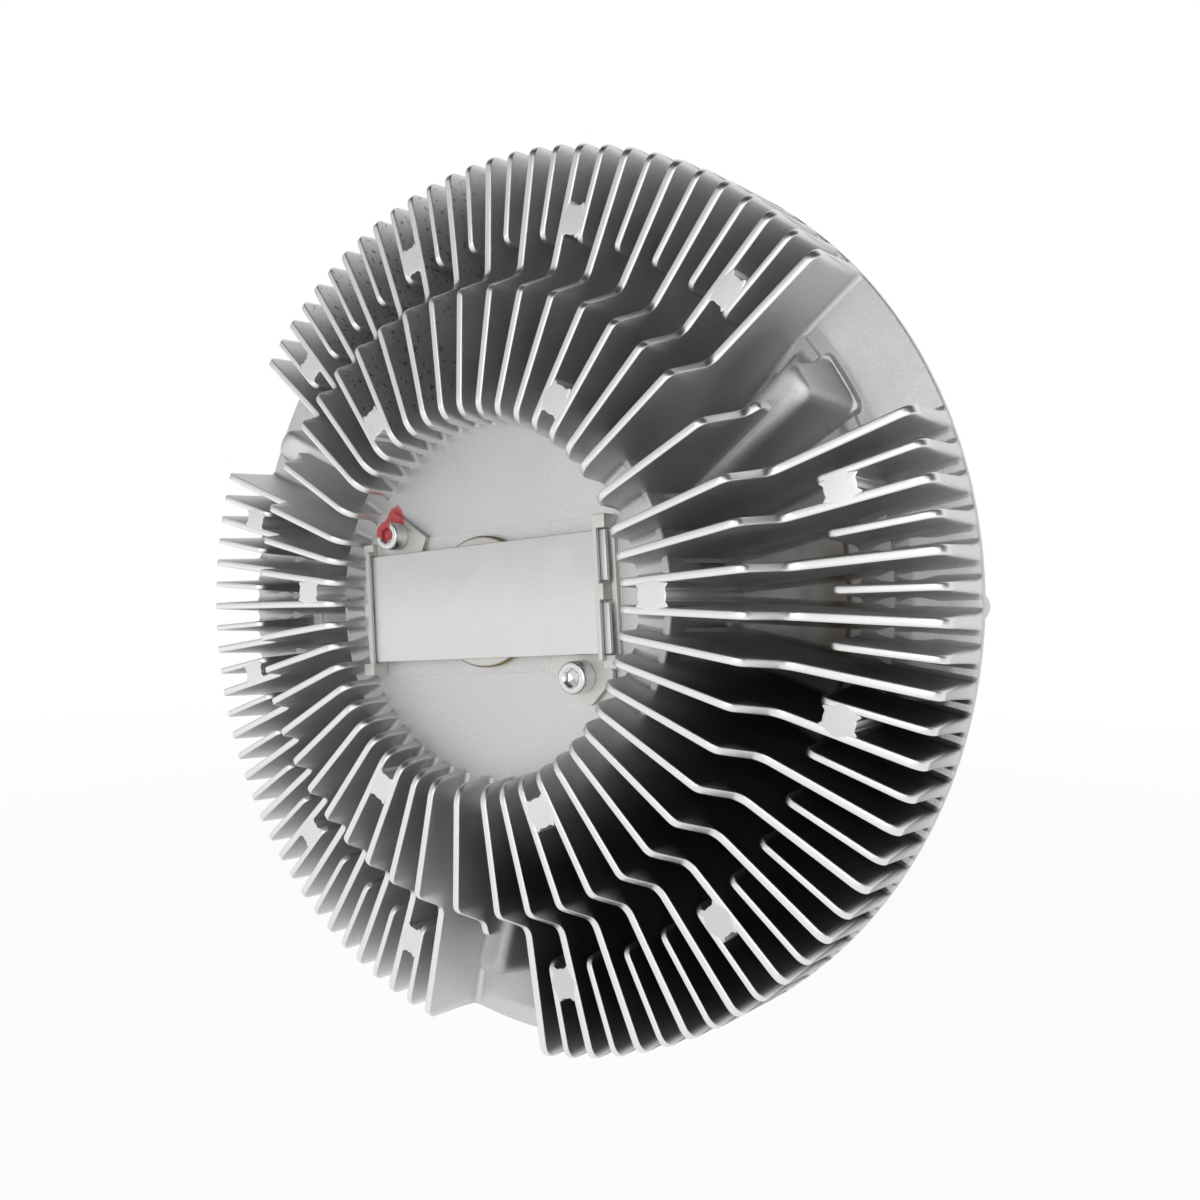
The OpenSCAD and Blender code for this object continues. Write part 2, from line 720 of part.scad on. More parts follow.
// Forged drive shaft with its bolt flange
module drive_shaft() {
    color("slategray") in_frame()
        difference() {
            union() {
                cylinder(d = drive_flange_d, h = drive_flange_t);
                cylinder(d = shoulder_d, h = bearing_rear_z);
                cylinder(r = shaft_seat_r, h = bearing_z);
                cylinder(d = rotor_seat_d - 2 * seat_gap, h = rotor_z);
                cylinder(d = thread_d - 2 * seat_gap, h = shaft_end_z);
            }
            translate([0, 0, -1]) cylinder(d = drive_pilot_d, h = drive_pilot_depth + 1);
            around(drive_bolts, 180 / drive_bolts)
                translate([drive_pcd / 2, 0, -1]) cylinder(d = drive_bolt_d, h = drive_flange_t + 2);
        }
}

pitch_r = (bearing_bore + bearing_od) / 4;
ball_z = bearing_rear_z + bearing_w / 2;
race_gap = 0.1;
ring_wall = 5;
inner_ring_r = bearing_bore / 2 + ring_wall;
outer_ring_r = bearing_od / 2 - ring_wall + 0.2;

module race_groove() {
    rotate_extrude() translate([pitch_r, ball_z]) circle(d = ball_d + 2 * race_gap, $fn = 48);
}

module bearing_inner_ring() {
    color("gainsboro") in_frame()
        difference() {
            ring(inner_ring_r, bearing_bore / 2, bearing_rear_z, bearing_z);
            race_groove();
        }
}

module bearing_outer_ring() {
    color("gainsboro") in_frame()
        difference() {
            ring(bearing_od / 2, outer_ring_r, bearing_rear_z, bearing_z);
            race_groove();
        }
}

module bearing_balls() {
    color("whitesmoke") in_frame()
        around(balls) translate([pitch_r, 0, ball_z]) sphere(d = ball_d, $fn = 48);
}

cage_half_t = 1.2;
cage_half_w = 6.6;

// Ball cage: a ring with a pocket round each ball
module bearing_cage() {
    color("goldenrod") in_frame()
        difference() {
            ring(pitch_r + cage_half_t, pitch_r - cage_half_t, ball_z - cage_half_w, ball_z + cage_half_w);
            around(balls) translate([pitch_r, 0, ball_z]) sphere(d = ball_d + 4 * race_gap, $fn = 48);
        }
}

seal_t = 0.9;

// Rubber seals at both faces of the bearing
module bearing_seals() {
    color("black") in_frame()
        for (low = [bearing_rear_z + 0.4, bearing_z - 0.4 - seal_t])
            ring(outer_ring_r - seat_gap, inner_ring_r + run_gap, low, low + seal_t);
}

circlip_out_r = bearing_seat_r + circlip_depth - seat_gap;
circlip_gap_angle = 24;

// Internal circlip behind the bearing's outer ring, open at the top with two eyes
module bearing_circlip() {
    eye_r = circlip_out_r - circlip_w - 0.5;
    eye_d = 6;
    low = bearing_rear_z - circlip_t - seat_gap;
    color("darkslategray") in_frame()
        difference() {
            union() {
                difference() {
                    ring(circlip_out_r, circlip_out_r - circlip_w, low, low + circlip_t);
                    rotate([0, 0, 90 - circlip_gap_angle / 2])
                        translate([0, 0, low - 1])
                            linear_extrude(circlip_t + 2)
                                polygon([
                                    [0, 0], [2 * circlip_out_r, 0],
                                    2 * circlip_out_r * [cos(circlip_gap_angle), sin(circlip_gap_angle)]
                                ]);
                }
                for (side = [-1, 1])
                    rotate([0, 0, 90 + side * (circlip_gap_angle / 2 + 5)])
                        translate([eye_r + 1.5, 0, low]) cylinder(d = eye_d, h = circlip_t);
            }
            for (side = [-1, 1])
                rotate([0, 0, 90 + side * (circlip_gap_angle / 2 + 5)])
                    translate([eye_r + 1, 0, low - 1]) cylinder(d = 2.4, h = circlip_t + 2);
        }
}

// Half section of the rotor: hub, plate and shear rings
rotor_hub_r = inner_ring_r + 1;
rotor_section = concat(
    [
        [rotor_seat_d / 2, bearing_z], [rotor_hub_r, bearing_z], [rotor_hub_r, rotor_back_z],
        [rotor_r, rotor_back_z], [rotor_r, rotor_z]
    ],
    [for (i = [cover_rings - 1 : -1 : 0]) each [
        [rotor_ring_r(i) + ring_t / 2, rotor_z], [rotor_ring_r(i) + ring_t / 2, rotor_z + ring_h],
        [rotor_ring_r(i) - ring_t / 2, rotor_z + ring_h], [rotor_ring_r(i) - ring_t / 2, rotor_z]
    ]],
    [[rotor_seat_d / 2, rotor_z]]
);

// Driven rotor with shear rings that run between the cover's rings
module rotor() {
    color("darkgray") in_frame()
        difference() {
            rotate_extrude() polygon(rotor_section);
            around(balance_holes)
                translate([(rotor_hub_r + ring_first_r) / 2, 0, rotor_back_z - 1])
                    cylinder(d = balance_hole_d, h = rotor_t + 2);
        }
}

module rotor_nut() {
    color("dimgray") in_frame()
        translate([0, 0, rotor_z])
            difference() {
                cylinder(d = nut_af / cos(30), h = nut_t, $fn = 6);
                translate([0, 0, -1]) cylinder(d = thread_d, h = nut_t + 2);
            }
}

// Plate between the reservoir and the working chamber, with the feed opening
module reservoir_plate() {
    color("lightsteelblue") in_frame()
        difference() {
            translate([0, 0, plate_z - plate_t]) cylinder(r = plate_r, h = plate_t);
            translate([feed_x, 0, plate_z - plate_t - 1]) cylinder(d = feed_d, h = plate_t + 2);
            around(plate_screws)
                translate([plate_screw_r, 0, plate_z - plate_t - 1])
                    cylinder(d = plate_screw_d + 0.4, h = plate_t + 2);
            lever_rivet_places()
                translate([0, 0, plate_z - plate_t - 1])
                    cylinder(d = rivet_d + 2 * seat_gap, h = plate_t + 2);
        }
}

// Pan head screws that hold the reservoir plate, from behind
module plate_screw_set() {
    head_h = 2;
    color("gray") in_frame()
        around(plate_screws)
            translate([plate_screw_r, 0, plate_z - plate_t]) {
                translate([0, 0, -head_h]) cylinder(d = plate_head_d, h = head_h);
                translate([0, 0, -0.5])
                    cylinder(d = plate_screw_d - 2 * seat_gap, h = plate_t + plate_thread_l);
            }
}

rivet_d = 3;
rivet_head_d = 5.5;
rivet_head_h = 1.2;
rivet_spread = 6;

module lever_rivet_places() {
    for (side = [-1, 1])
        translate([-lever_pivot_x, side * rivet_spread, 0]) children();
}

// Leaf valve over the feed opening, riveted at its other end
module valve_lever() {
    foot = 5;
    foot_w = 2 * rivet_spread + rivet_head_d + 2;
    tip_r = feed_d / 2 + 3;
    arm = [
        [-lever_pivot_x - foot, -foot_w / 2, 2], [-lever_pivot_x + foot, -foot_w / 2, 2],
        [-lever_pivot_x + 4 * foot, -lever_w / 2, 6], [feed_x, -lever_w / 2, 0], [feed_x, lever_w / 2, 0],
        [-lever_pivot_x + 4 * foot, lever_w / 2, 6], [-lever_pivot_x + foot, foot_w / 2, 2],
        [-lever_pivot_x - foot, foot_w / 2, 2]
    ];
    color("steelblue") in_frame()
        translate([0, 0, lever_z])
            difference() {
                union() {
                    linear_extrude(lever_t) polygon(rounded(arm));
                    translate([feed_x, 0, 0]) cylinder(r = tip_r, h = lever_t);
                }
                lever_rivet_places()
                    translate([0, 0, -1]) cylinder(d = rivet_d + 2 * run_gap, h = lever_t + 2);
            }
}

module lever_rivets() {
    tail_h = 0.8;
    top = lever_z + lever_t + run_gap;
    color("gray") in_frame()
        lever_rivet_places() {
            translate([0, 0, plate_z - plate_t - tail_h]) cylinder(d = rivet_head_d, h = tail_h);
            translate([0, 0, plate_z - plate_t - tail_h / 2])
                cylinder(d = rivet_d, h = top - plate_z + plate_t + tail_h);
            translate([0, 0, top]) cylinder(d = rivet_head_d, h = rivet_head_h);
        }
}

// Blocks that dam the fluid at the rotor's rim and turn it into the return passages
module pump_scrapers() {
    width = chamber_r - run_gap - scraper_in_r;
    height = plate_z - rotor_z - run_gap;
    color("ivory") in_frame()
        around(sectors, gap_start + scraper_angle) {
            translate([scraper_in_r, -scraper_w / 2, plate_z - height]) cube([width, scraper_w, height]);
            translate([scraper_mid_r, 0, plate_z - 1])
                cylinder(d = scraper_peg_d - 2 * seat_gap, h = scraper_peg_l + 1);
        }
}

touch_gap = 0.2;
pin_low = lever_z + lever_t + touch_gap;
pin_high = strip_z - touch_gap;

// Pin that carries the strip's movement to the valve lever
module control_pin() {
    dome = 0.8;
    color("whitesmoke") in_frame()
        rotate_extrude()
            polygon([
                [0, pin_low], [pin_d / 2 - dome, pin_low], [pin_d / 2, pin_low + dome],
                [pin_d / 2, pin_high - dome], [pin_d / 2 - dome, pin_high], [0, pin_high]
            ]);
}

bush_l = disc_wall + 6;
bush_bore_r = pin_d / 2 + pin_gap;
bush_groove_r = bush_bore_r + pin_ring_d - 0.1;
bush_groove_low = band_z - bush_l / 2;
bush_groove_high = bush_groove_low + pin_ring_d + 0.4;

// Brass bush that guides and seals the control pin
module pin_bush() {
    spigot = bush_spigot_d / 2;
    flange = bush_flange_d / 2;
    top = band_z + bush_flange_t;
    edge = 0.6;
    section = [
        [bush_bore_r, band_z - bush_l], [spigot - edge, band_z - bush_l], [spigot, band_z - bush_l + edge],
        [spigot, band_z], [flange, band_z], [flange, top - edge], [flange - edge, top],
        [bush_bore_r + edge, top], [bush_bore_r, top - edge], [bush_bore_r, bush_groove_high],
        [bush_groove_r, bush_groove_high], [bush_groove_r, bush_groove_low], [bush_bore_r, bush_groove_low]
    ];
    color("darkkhaki") in_frame() rotate_extrude() polygon(section);
}

module pin_o_ring() {
    section = bush_groove_r - bush_bore_r - seat_gap;
    color("black") in_frame()
        rotate_extrude()
            translate([bush_bore_r + section / 2, (bush_groove_low + bush_groove_high) / 2])
                circle(d = section, $fn = 32);
}

// Bimetal strip, passing through the brackets and notched at both ends
module bimetal_strip() {
    color("gainsboro") in_frame()
        rotate([0, 0, strip_angle])
            translate([0, 0, strip_z])
                difference() {
                    translate([-strip_l / 2, -strip_w / 2, 0]) cube([strip_l, strip_w, strip_t]);
                    for (side = [-1, 1])
                        translate([side * strip_l / 2, 0, strip_t / 2])
                            cube([2 * notch_l, notch_w, 2 * strip_t], center = true);
                }
}

// Right bracket: an upright with a slot for the strip, a tooth in its notch, end posts and a screwed foot
module bracket() {
    top_z = strip_z + strip_t + bridge_h;
    low_z = strip_z + strip_t / 2;
    slot_z = [strip_z - seat_gap, strip_z + strip_t + run_gap];
    upright = [upright_x, upright_x + upright_t];
    post = [upright_x, upright_x + post_w];
    half_l = bracket_l / 2;
    slot_half = strip_w / 2 + run_gap;
    tooth_half = notch_w / 2 - 2 * run_gap;
    hidden_y = strip_w / 2 - 2;
    heel = 2.6;
    foot = [
        [tab_x, -tab_y, 1.2], [post[1] - heel, -half_l - heel, 1], [post[1] - heel, -half_l, 0],
        [post[1], -half_l, 0], [post[1], half_l, 0], [upright_x, half_l, 0], [upright_x, -hidden_y, 0],
        [foot_x + heel, -hidden_y, 0], [foot_x, -half_l - 0.6, 0.8]
    ];
    difference() {
        union() {
            translate([0, 0, band_z]) linear_extrude(sheet_t) polygon(rounded(foot));
            block(upright, [-half_l, half_l], [band_z, low_z]);
            block(upright, [-slot_half - upright_t, half_l], [band_z, top_z]);
            block(post, [slot_half, half_l], [band_z, top_z]);
            block(post, [-half_l, -slot_half], [band_z, low_z]);
        }
        block([upright_x - 1, post[1] + 1], [-slot_half, slot_half], slot_z);
        translate([screw_x, -screw_y, band_z - 1]) cylinder(d = screw_d + 0.5, h = sheet_t + 2);
    }
    block([strip_l / 2 - notch_l + run_gap, upright_x + tooth_l], [-tooth_half, tooth_half], [band_z, top_z]);
}

module right_bracket() {
    color("lightgray") in_frame() rotate([0, 0, strip_angle]) bracket();
}

module left_bracket() {
    color("lightgray") in_frame() rotate([0, 0, strip_angle + 180]) bracket();
}

module bracket_screws() {
    color("silver") in_frame()
        bracket_screw_places()
            translate([0, 0, band_z + sheet_t]) cap_screw(sheet_t + bracket_thread_l - 0.5);
}

drive_shaft();
bearing_inner_ring();
bearing_outer_ring();
bearing_balls();
bearing_cage();
bearing_seals();
bearing_circlip();
rotor();
rotor_nut();
rear_housing();
front_cover();
housing_o_ring();
housing_screws();
reservoir_plate();
plate_screw_set();
valve_lever();
lever_rivets();
pump_scrapers();
control_pin();
pin_bush();
pin_o_ring();
bimetal_strip();
left_bracket();
right_bracket();
bracket_screws();
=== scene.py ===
# %% [markdown]
# A viscous fan clutch, seen from its finned front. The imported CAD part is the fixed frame: it holds
# every size, joint and hidden piece. This lesson dresses it: castings get rounded edges and a blasted
# skin, the sheet metal parts get a soft edge, and each metal gets the finish that its process leaves.

# %% Frame, units and the box that the dressed part must stay in
import math

import bmesh
import bpy
import numpy as np
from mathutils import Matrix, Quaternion, Vector


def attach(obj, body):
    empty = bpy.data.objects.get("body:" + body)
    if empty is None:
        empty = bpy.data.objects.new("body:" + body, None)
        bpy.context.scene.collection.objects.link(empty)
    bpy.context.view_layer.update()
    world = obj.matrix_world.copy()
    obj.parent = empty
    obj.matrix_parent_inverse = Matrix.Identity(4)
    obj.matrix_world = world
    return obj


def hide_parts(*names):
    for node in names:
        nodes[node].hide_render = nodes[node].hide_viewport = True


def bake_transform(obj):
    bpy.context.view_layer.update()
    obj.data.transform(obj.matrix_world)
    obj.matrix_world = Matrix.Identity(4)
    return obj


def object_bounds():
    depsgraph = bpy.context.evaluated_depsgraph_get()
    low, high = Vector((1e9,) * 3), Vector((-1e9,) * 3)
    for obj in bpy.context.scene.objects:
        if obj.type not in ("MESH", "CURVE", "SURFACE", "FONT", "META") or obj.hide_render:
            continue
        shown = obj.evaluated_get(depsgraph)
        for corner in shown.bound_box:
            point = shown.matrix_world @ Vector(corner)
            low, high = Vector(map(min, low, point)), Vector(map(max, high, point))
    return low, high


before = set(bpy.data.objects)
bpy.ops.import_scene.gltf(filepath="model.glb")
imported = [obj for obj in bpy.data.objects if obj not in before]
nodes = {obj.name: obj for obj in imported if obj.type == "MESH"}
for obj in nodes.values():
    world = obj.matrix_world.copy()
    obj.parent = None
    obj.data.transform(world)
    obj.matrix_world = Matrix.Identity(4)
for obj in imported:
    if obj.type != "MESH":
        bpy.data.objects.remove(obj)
cad_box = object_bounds()
MM = 0.001
print("CAD nodes:", len(nodes), "box:", [list(c) for c in cad_box])

# %% [markdown]
# The spin axis is Y and the front faces -Y. It is easier to think of a clutch that lies on its back: x
# and y as the photograph shows them, and a height above the front plane of the rim. One function turns
# such points into the frame's metres. Grids of points become quads by counting, so no vertex is visited
# by a loop.

# %% Places, grids and meshes
RIM_Z = 78.0
RIM_R = round(-cad_box[0][0] / MM, 1)
MERGE, SLIVER = 2e-6, 1e-6  # metres: points this close become one, edges this short go


def place(x, y, h):
    """Front view x and y and height h above the rim plane, in mm, as points of the frame in metres."""
    x, y, h = np.broadcast_arrays(x, y, h)
    return np.stack([x, -(h + RIM_Z), y], -1).reshape(-1, 3) * MM


def turned(x, y, degrees):
    """The points (x, y) turned about the axis: x cos a - y sin a, x sin a + y cos a."""
    a = np.radians(degrees)
    return x * np.cos(a) - y * np.sin(a), x * np.sin(a) + y * np.cos(a)


def grid_faces(rows, cols, copies=1, close_rows=False, close_cols=False):
    """Quads of a rows by cols grid of points, repeated for a stack of such grids."""
    i = np.arange(rows if close_rows else rows - 1)[:, None]
    j = np.arange(cols if close_cols else cols - 1)[None, :]
    a, b = i * cols, (i + 1) % rows * cols
    c = (j + 1) % cols
    quads = np.stack([a + j, a + c, b + c, b + j], -1).reshape(-1, 4)
    return (quads[None] + np.arange(copies)[:, None, None] * rows * cols).reshape(-1, 4)


def new_object(name, data):
    """An object of a mesh, lamp or camera, linked to the scene."""
    made = bpy.data.objects.new(name, data)
    bpy.context.scene.collection.objects.link(made)
    return made


def piece_of(name, mesh, body, replaced, sharp):
    """A piece of that mesh, smooth where its faces meet by less than sharp degrees, and what the frame has
    to know of it. A piece without a body is not attached to one."""
    mesh.polygons.foreach_set("use_smooth", np.ones(len(mesh.polygons), bool))
    mesh.set_sharp_from_angle(angle=math.radians(sharp))
    piece = new_object(name, mesh)
    if body:
        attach(piece, body)
    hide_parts(replaced)
    return piece


def build(name, parts, body, replaced, sharp=40):
    """One object from several (points, faces, wear) shells: doubles merged, normals outwards, edges sharp
    by angle. Wear, 0 to 1, goes into a point attribute; the finishes show it as polish and a painted
    highlight."""
    mesh = bpy.data.meshes.new(name)
    starts = np.cumsum([0] + [len(part[0]) for part in parts[:-1]])
    points = np.concatenate([part[0] for part in parts])
    faces = np.concatenate([part[1] + start for part, start in zip(parts, starts)])
    wear_and_highlight = np.concatenate([np.broadcast_to(part[2], len(part[0])) for part in parts])
    mesh.from_pydata(points, [], faces)
    mesh.attributes.new("wear_and_highlight", "FLOAT", "POINT").data.foreach_set("value", wear_and_highlight.astype(np.float32))
    work = bmesh.new()
    work.from_mesh(mesh)
    bmesh.ops.remove_doubles(work, verts=work.verts, dist=MERGE)
    bmesh.ops.dissolve_degenerate(work, edges=work.edges, dist=SLIVER)
    bmesh.ops.recalc_face_normals(work, faces=work.faces)
    work.to_mesh(mesh)
    work.free()
    mesh.calc_loop_triangles()
    print(name, len(mesh.vertices), "points", len(mesh.loop_triangles), "triangles")
    return piece_of(name, mesh, body, replaced, sharp)


# %% [markdown]
# An outline is a short list of corners, each with the radius of its rounding. The rounding is an arc
# between the two points where a circle of that radius touches the corner's sides. CAD and looks share
# the corners.

# %% Rounded outlines and soft steps
STRAIGHT = 1.57  # half of a corner's angle, in radians, from which it needs no rounding


def rounded(corners, steps=5):
    """Path through corners (x, y, radius): each rounded corner becomes an arc of steps + 1 points."""
    at = np.array([c[:2] for c in corners], float)
    path = [at[0]]
    for before, here, after, corner in zip(at, at[1:], at[2:], corners[1:]):
        radius = corner[2]
        u = (before - here) / np.linalg.norm(before - here)
        v = (after - here) / np.linalg.norm(after - here)
        half = np.arccos(np.clip(u @ v, -1, 1)) / 2
        if radius == 0 or half > STRAIGHT:
            path.append(here)
            continue
        centre = here + (u + v) / np.linalg.norm(u + v) * radius / np.sin(half)
        p, q = (here + w * radius / np.tan(half) - centre for w in (u, v))
        turn = np.arctan2(p[0] * q[1] - p[1] * q[0], p @ q)
        t = np.arctan2(p[1], p[0]) + turn * np.linspace(0, 1, steps + 1)
        path.extend(centre + radius * np.stack([np.cos(t), np.sin(t)], -1))
    return np.array(path + [at[-1]])


def soft_step(t):
    """0 below 0, 1 above 1, and the smooth cubic 3t^2 - 2t^3 between."""
    t = np.clip(t, 0, 1)
    return t * t * (3 - 2 * t)


def soft_edge(d, width):
    """0 on the negative side of an edge and 1 on the positive side, with a soft step of that width."""
    return soft_step(d / width + 0.5)


def soft_max(a, b, k):
    """The larger of a and b, with their meeting line filled by a parabola k wide."""
    return np.maximum(a, b) + np.clip(k - np.abs(a - b), 0, None) ** 2 / (4 * k)


# %% [markdown]
# The cover is one casting: a disc over the fluid reservoir, a hub, a sunken floor that rises to the rim,
# and in each of three gaps an inclined ridge over a return passage. All of that is one sheet: rows
# follow the half section, columns go round. In a gap the columns run parallel to the ridge instead of
# radially, so its long edges stay straight, and the height there is the larger of floor, pad and ridge
# with a soft meeting line.

# %% Cover: half section and columns
DISC_H, HUB_R, FLOOR_DROP = 20.0, 58.0, 9.0
HUB_FOOT_R, HUB_ROUND, HUB_FILLET = HUB_R + 0.8, 0.9, 1.8
STEP_R, STEP_DROP, LAND_END_R, LAND_H, FLOOR_END_R = 94.0, 3.6, 106.0, 1.0, 110.0
MID_R, MID_DROP = 80.0, 7.0
SECTORS, GAP_ANGLE, GAP_START = 3, 20.0, 30.0
SECTOR_ANGLE = 360 / SECTORS
RIM_ROUND, RIM_LIP = 0.4, 2.2
JOINT_R, JOINT_H, PLATE_H = RIM_R - 3.4, -10.0, -16.0
CHAMBER_R, RESERVOIR_R, ROOF_H, BORE_R = RIM_R - 16.2, 49.0, 14.0, 10.02
SPIGOT_R = CHAMBER_R + 2.5
RING_R = 68.0 + 6.0 * np.arange(6)
RING_HALF, RING_TIP_H = 1.2, PLATE_H - 8.0
FLOOR_IN_R, FLOOR_OUT_R = HUB_R + 3.0, 112.0
FLOOR_BANDS = ((FLOOR_IN_R, 90, 20), (91, 97, 11), (98, 103.5, 8), (104, 110, 25), (111, FLOOR_OUT_R, 2))
SECTOR_COLUMNS = 42


def floor_height(r):
    """Height of the slot floor at radius r: straight lines between a few radii."""
    radii = [HUB_FOOT_R, MID_R, STEP_R, FLOOR_END_R]
    return np.interp(r, radii, [-FLOOR_DROP, -MID_DROP, -STEP_DROP, 0.0])


front = rounded([
    (BORE_R, ROOF_H, 0), (BORE_R, DISC_H, 0), (HUB_R, DISC_H, HUB_ROUND),
    (HUB_FOOT_R, -FLOOR_DROP, HUB_FILLET), (FLOOR_IN_R, floor_height(FLOOR_IN_R), 0)
])
fine_r = np.concatenate([np.linspace(*first_last_rows) for first_last_rows in FLOOR_BANDS])
floor_rows = np.stack([fine_r, floor_height(fine_r)], -1)
outside = rounded([
    (FLOOR_OUT_R, 0, 0), (RIM_R, 0, RIM_ROUND), (RIM_R, -RIM_LIP, 0), (JOINT_R, JOINT_H, 0),
    (SPIGOT_R, JOINT_H, 0), (SPIGOT_R, PLATE_H, 0)
])
ring = np.array([
    (RING_HALF, PLATE_H), (RING_HALF, RING_TIP_H), (-RING_HALF, RING_TIP_H), (-RING_HALF, PLATE_H)
])
rings = np.concatenate([ring + (r, 0) for r in RING_R[::-1]])
inside = [(RESERVOIR_R, PLATE_H), (RESERVOIR_R, ROOF_H)]
section = np.concatenate([front, floor_rows[1:], outside[1:], rings, inside])
first_floor_row, last_floor_row = len(front) - 1, len(front) + len(floor_rows) - 2

sector_columns = np.linspace(GAP_ANGLE / 2, SECTOR_ANGLE - GAP_ANGLE / 2, SECTOR_COLUMNS)[1:-1]
near_ridge = np.concatenate([np.linspace(0, 2, 4), np.linspace(2.6, 8.8, 16)])
near_fin = np.linspace(7.4, 0, 14)
gap_edge = math.sin(math.radians(GAP_ANGLE / 2))


def gap_angles(r):
    """Angles of a gap's columns at radii r: near the middle at fixed distances from the ridge's centre
    line, and near a fin at fixed distances from the fin, which close up where the gap is narrow."""
    edge = r[:, None] * gap_edge
    room = np.clip((edge - near_ridge[-1]) / (near_fin[0] + 0.5), 0, 1)
    y = np.concatenate([np.broadcast_to(near_ridge, (len(r), len(near_ridge))), edge - near_fin * room], 1)
    half = np.degrees(np.arcsin(y / r[:, None]))
    return np.concatenate([-half[:, :0:-1], half], 1)


# %% [markdown]
# A ridge is a bar with a round crest and leaning sides, cut off at its outer end. As a height above the
# plane it is the crest line minus what the section and the end fall away. A low keystone pad lies round
# its end, and a low land crosses the slots between two radii.

# %% Cover: ridge, pad and land as heights
RIDGE_START, RIDGE_END, RIDGE_LOW, RIDGE_HIGH = HUB_R - 1, 104.8, 2.0, 20.0
RIDGE_HALF, RIDGE_ROUND, RIDGE_SIDE, RIDGE_CORNER, RIDGE_FILLET = 5.5, 3.8, 7.0, 4.0, 7.0
PAD_R, PAD_HALF_ANGLE, PAD_H, PAD_CORNER, PAD_EDGE = 108.4, 4.6, 1.0, 2.5, 0.6
LAND_STRIP, LAND_EDGE, LAND_WHOLE_R, LAND_FADE = 4.2, 0.5, 100.5, 3.0


def falling_side(distance, radius, lean):
    """Fall of a rounded edge: 0 up to 0, a circle of that radius, then a side that leans outwards."""
    lean = math.radians(lean)
    x = np.clip(distance, 0, None)
    tangent = radius * math.cos(lean)
    arc = radius - np.sqrt(np.clip(radius ** 2 - np.minimum(x, tangent) ** 2, 0, None))
    return arc + np.clip(x - tangent, 0, None) / math.tan(lean)


def land_share(r):
    """1 on the low land between its two radii and 0 beside it, with soft edges."""
    return soft_edge(r - STEP_R, LAND_EDGE) * soft_edge(LAND_END_R - r, LAND_EDGE)


def gap_height(r, degrees):
    """Height inside a gap: the larger of floor, land strips, pad and ridge, with soft meeting lines. The
    land lies only in a strip beside each fin, and over the whole gap from LAND_WHOLE_R outwards."""
    x, y = r * np.cos(np.radians(degrees)), np.abs(r * np.sin(np.radians(degrees)))
    beside_fin = soft_edge(y - r * gap_edge + LAND_STRIP, PAD_EDGE)
    land = land_share(r) * np.maximum(beside_fin, soft_step((r - LAND_WHOLE_R) / LAND_FADE))
    base = floor_height(r) + LAND_H * land
    to_side = (PAD_HALF_ANGLE - np.abs(degrees)) * np.radians(1) * r
    inside = -soft_max(r - PAD_R, -to_side, PAD_CORNER)
    inside = np.minimum(inside, r - RIDGE_END + RIDGE_HALF)
    base = base + (PAD_H - base) * soft_edge(inside, PAD_EDGE)
    slope = (RIDGE_HIGH - RIDGE_LOW) / (RIDGE_END - RIDGE_START)
    crest = RIDGE_LOW + slope * (x - RIDGE_START)
    beyond = soft_max(y - RIDGE_HALF + RIDGE_ROUND, x - RIDGE_END + RIDGE_ROUND, RIDGE_CORNER)
    return soft_max(base, crest - falling_side(beyond, RIDGE_ROUND, RIDGE_SIDE), RIDGE_FILLET)


def sector_height(r):
    """Height between the fins: the floor and the low land across the slots."""
    return floor_height(r) + LAND_H * land_share(r)


# %% Cover: the sheet
FLOOR_FADE = 2.0


def cover_sheet():
    """The skin of the cover as one closed grid: rows of the half section by columns round the axis."""
    r, h = section[:, 0], section[:, 1]
    on_floor = np.zeros(len(r), bool)
    on_floor[first_floor_row:last_floor_row + 1] = True
    column_r = np.where(np.arange(len(r)) < first_floor_row, FLOOR_IN_R, r)
    column_r = np.clip(column_r, FLOOR_IN_R, FLOOR_OUT_R)
    column_r[last_floor_row:] = FLOOR_OUT_R
    in_gap = gap_angles(column_r)
    in_sector = np.broadcast_to(sector_columns, (len(r), len(sector_columns)))
    lifted = gap_height(r[:, None], in_gap)
    ends = soft_step((FLOOR_OUT_R - column_r) / FLOOR_FADE)[:, None]
    gap_h = np.where(on_floor[:, None], h[:, None] + (lifted - h[:, None]) * ends, h[:, None])
    at_hub = (np.arange(len(r)) < first_floor_row) & (r > HUB_R - 0.01)
    gap_h = np.where(at_hub[:, None], np.maximum(gap_h, lifted), gap_h)
    sector_h = np.where(on_floor, sector_height(r), h)[:, None] + 0 * in_sector
    angle = np.concatenate([in_gap, in_sector], 1)
    height = np.concatenate([gap_h, sector_h], 1)
    around = np.concatenate([angle + GAP_START + k * SECTOR_ANGLE for k in range(SECTORS)], 1)
    height = np.tile(height, (1, SECTORS))
    x, y = turned(r[:, None], 0.0, around)
    return place(x, y, height), grid_faces(*height.shape, close_rows=True, close_cols=True), 0.0


cover_parts = [cover_sheet()]
print("cover rows:", len(section), "points:", len(cover_parts[0][0]))

# %% [markdown]
# A cooling fin is a plate with draft. Seen from its side it is an outline of radius and height, and its
# half thickness is a function of both: the draft, times a rounding that goes to zero at the outline,
# plus a flare where it meets the floor. That makes every edge round, also at the steep ends, with one
# formula.

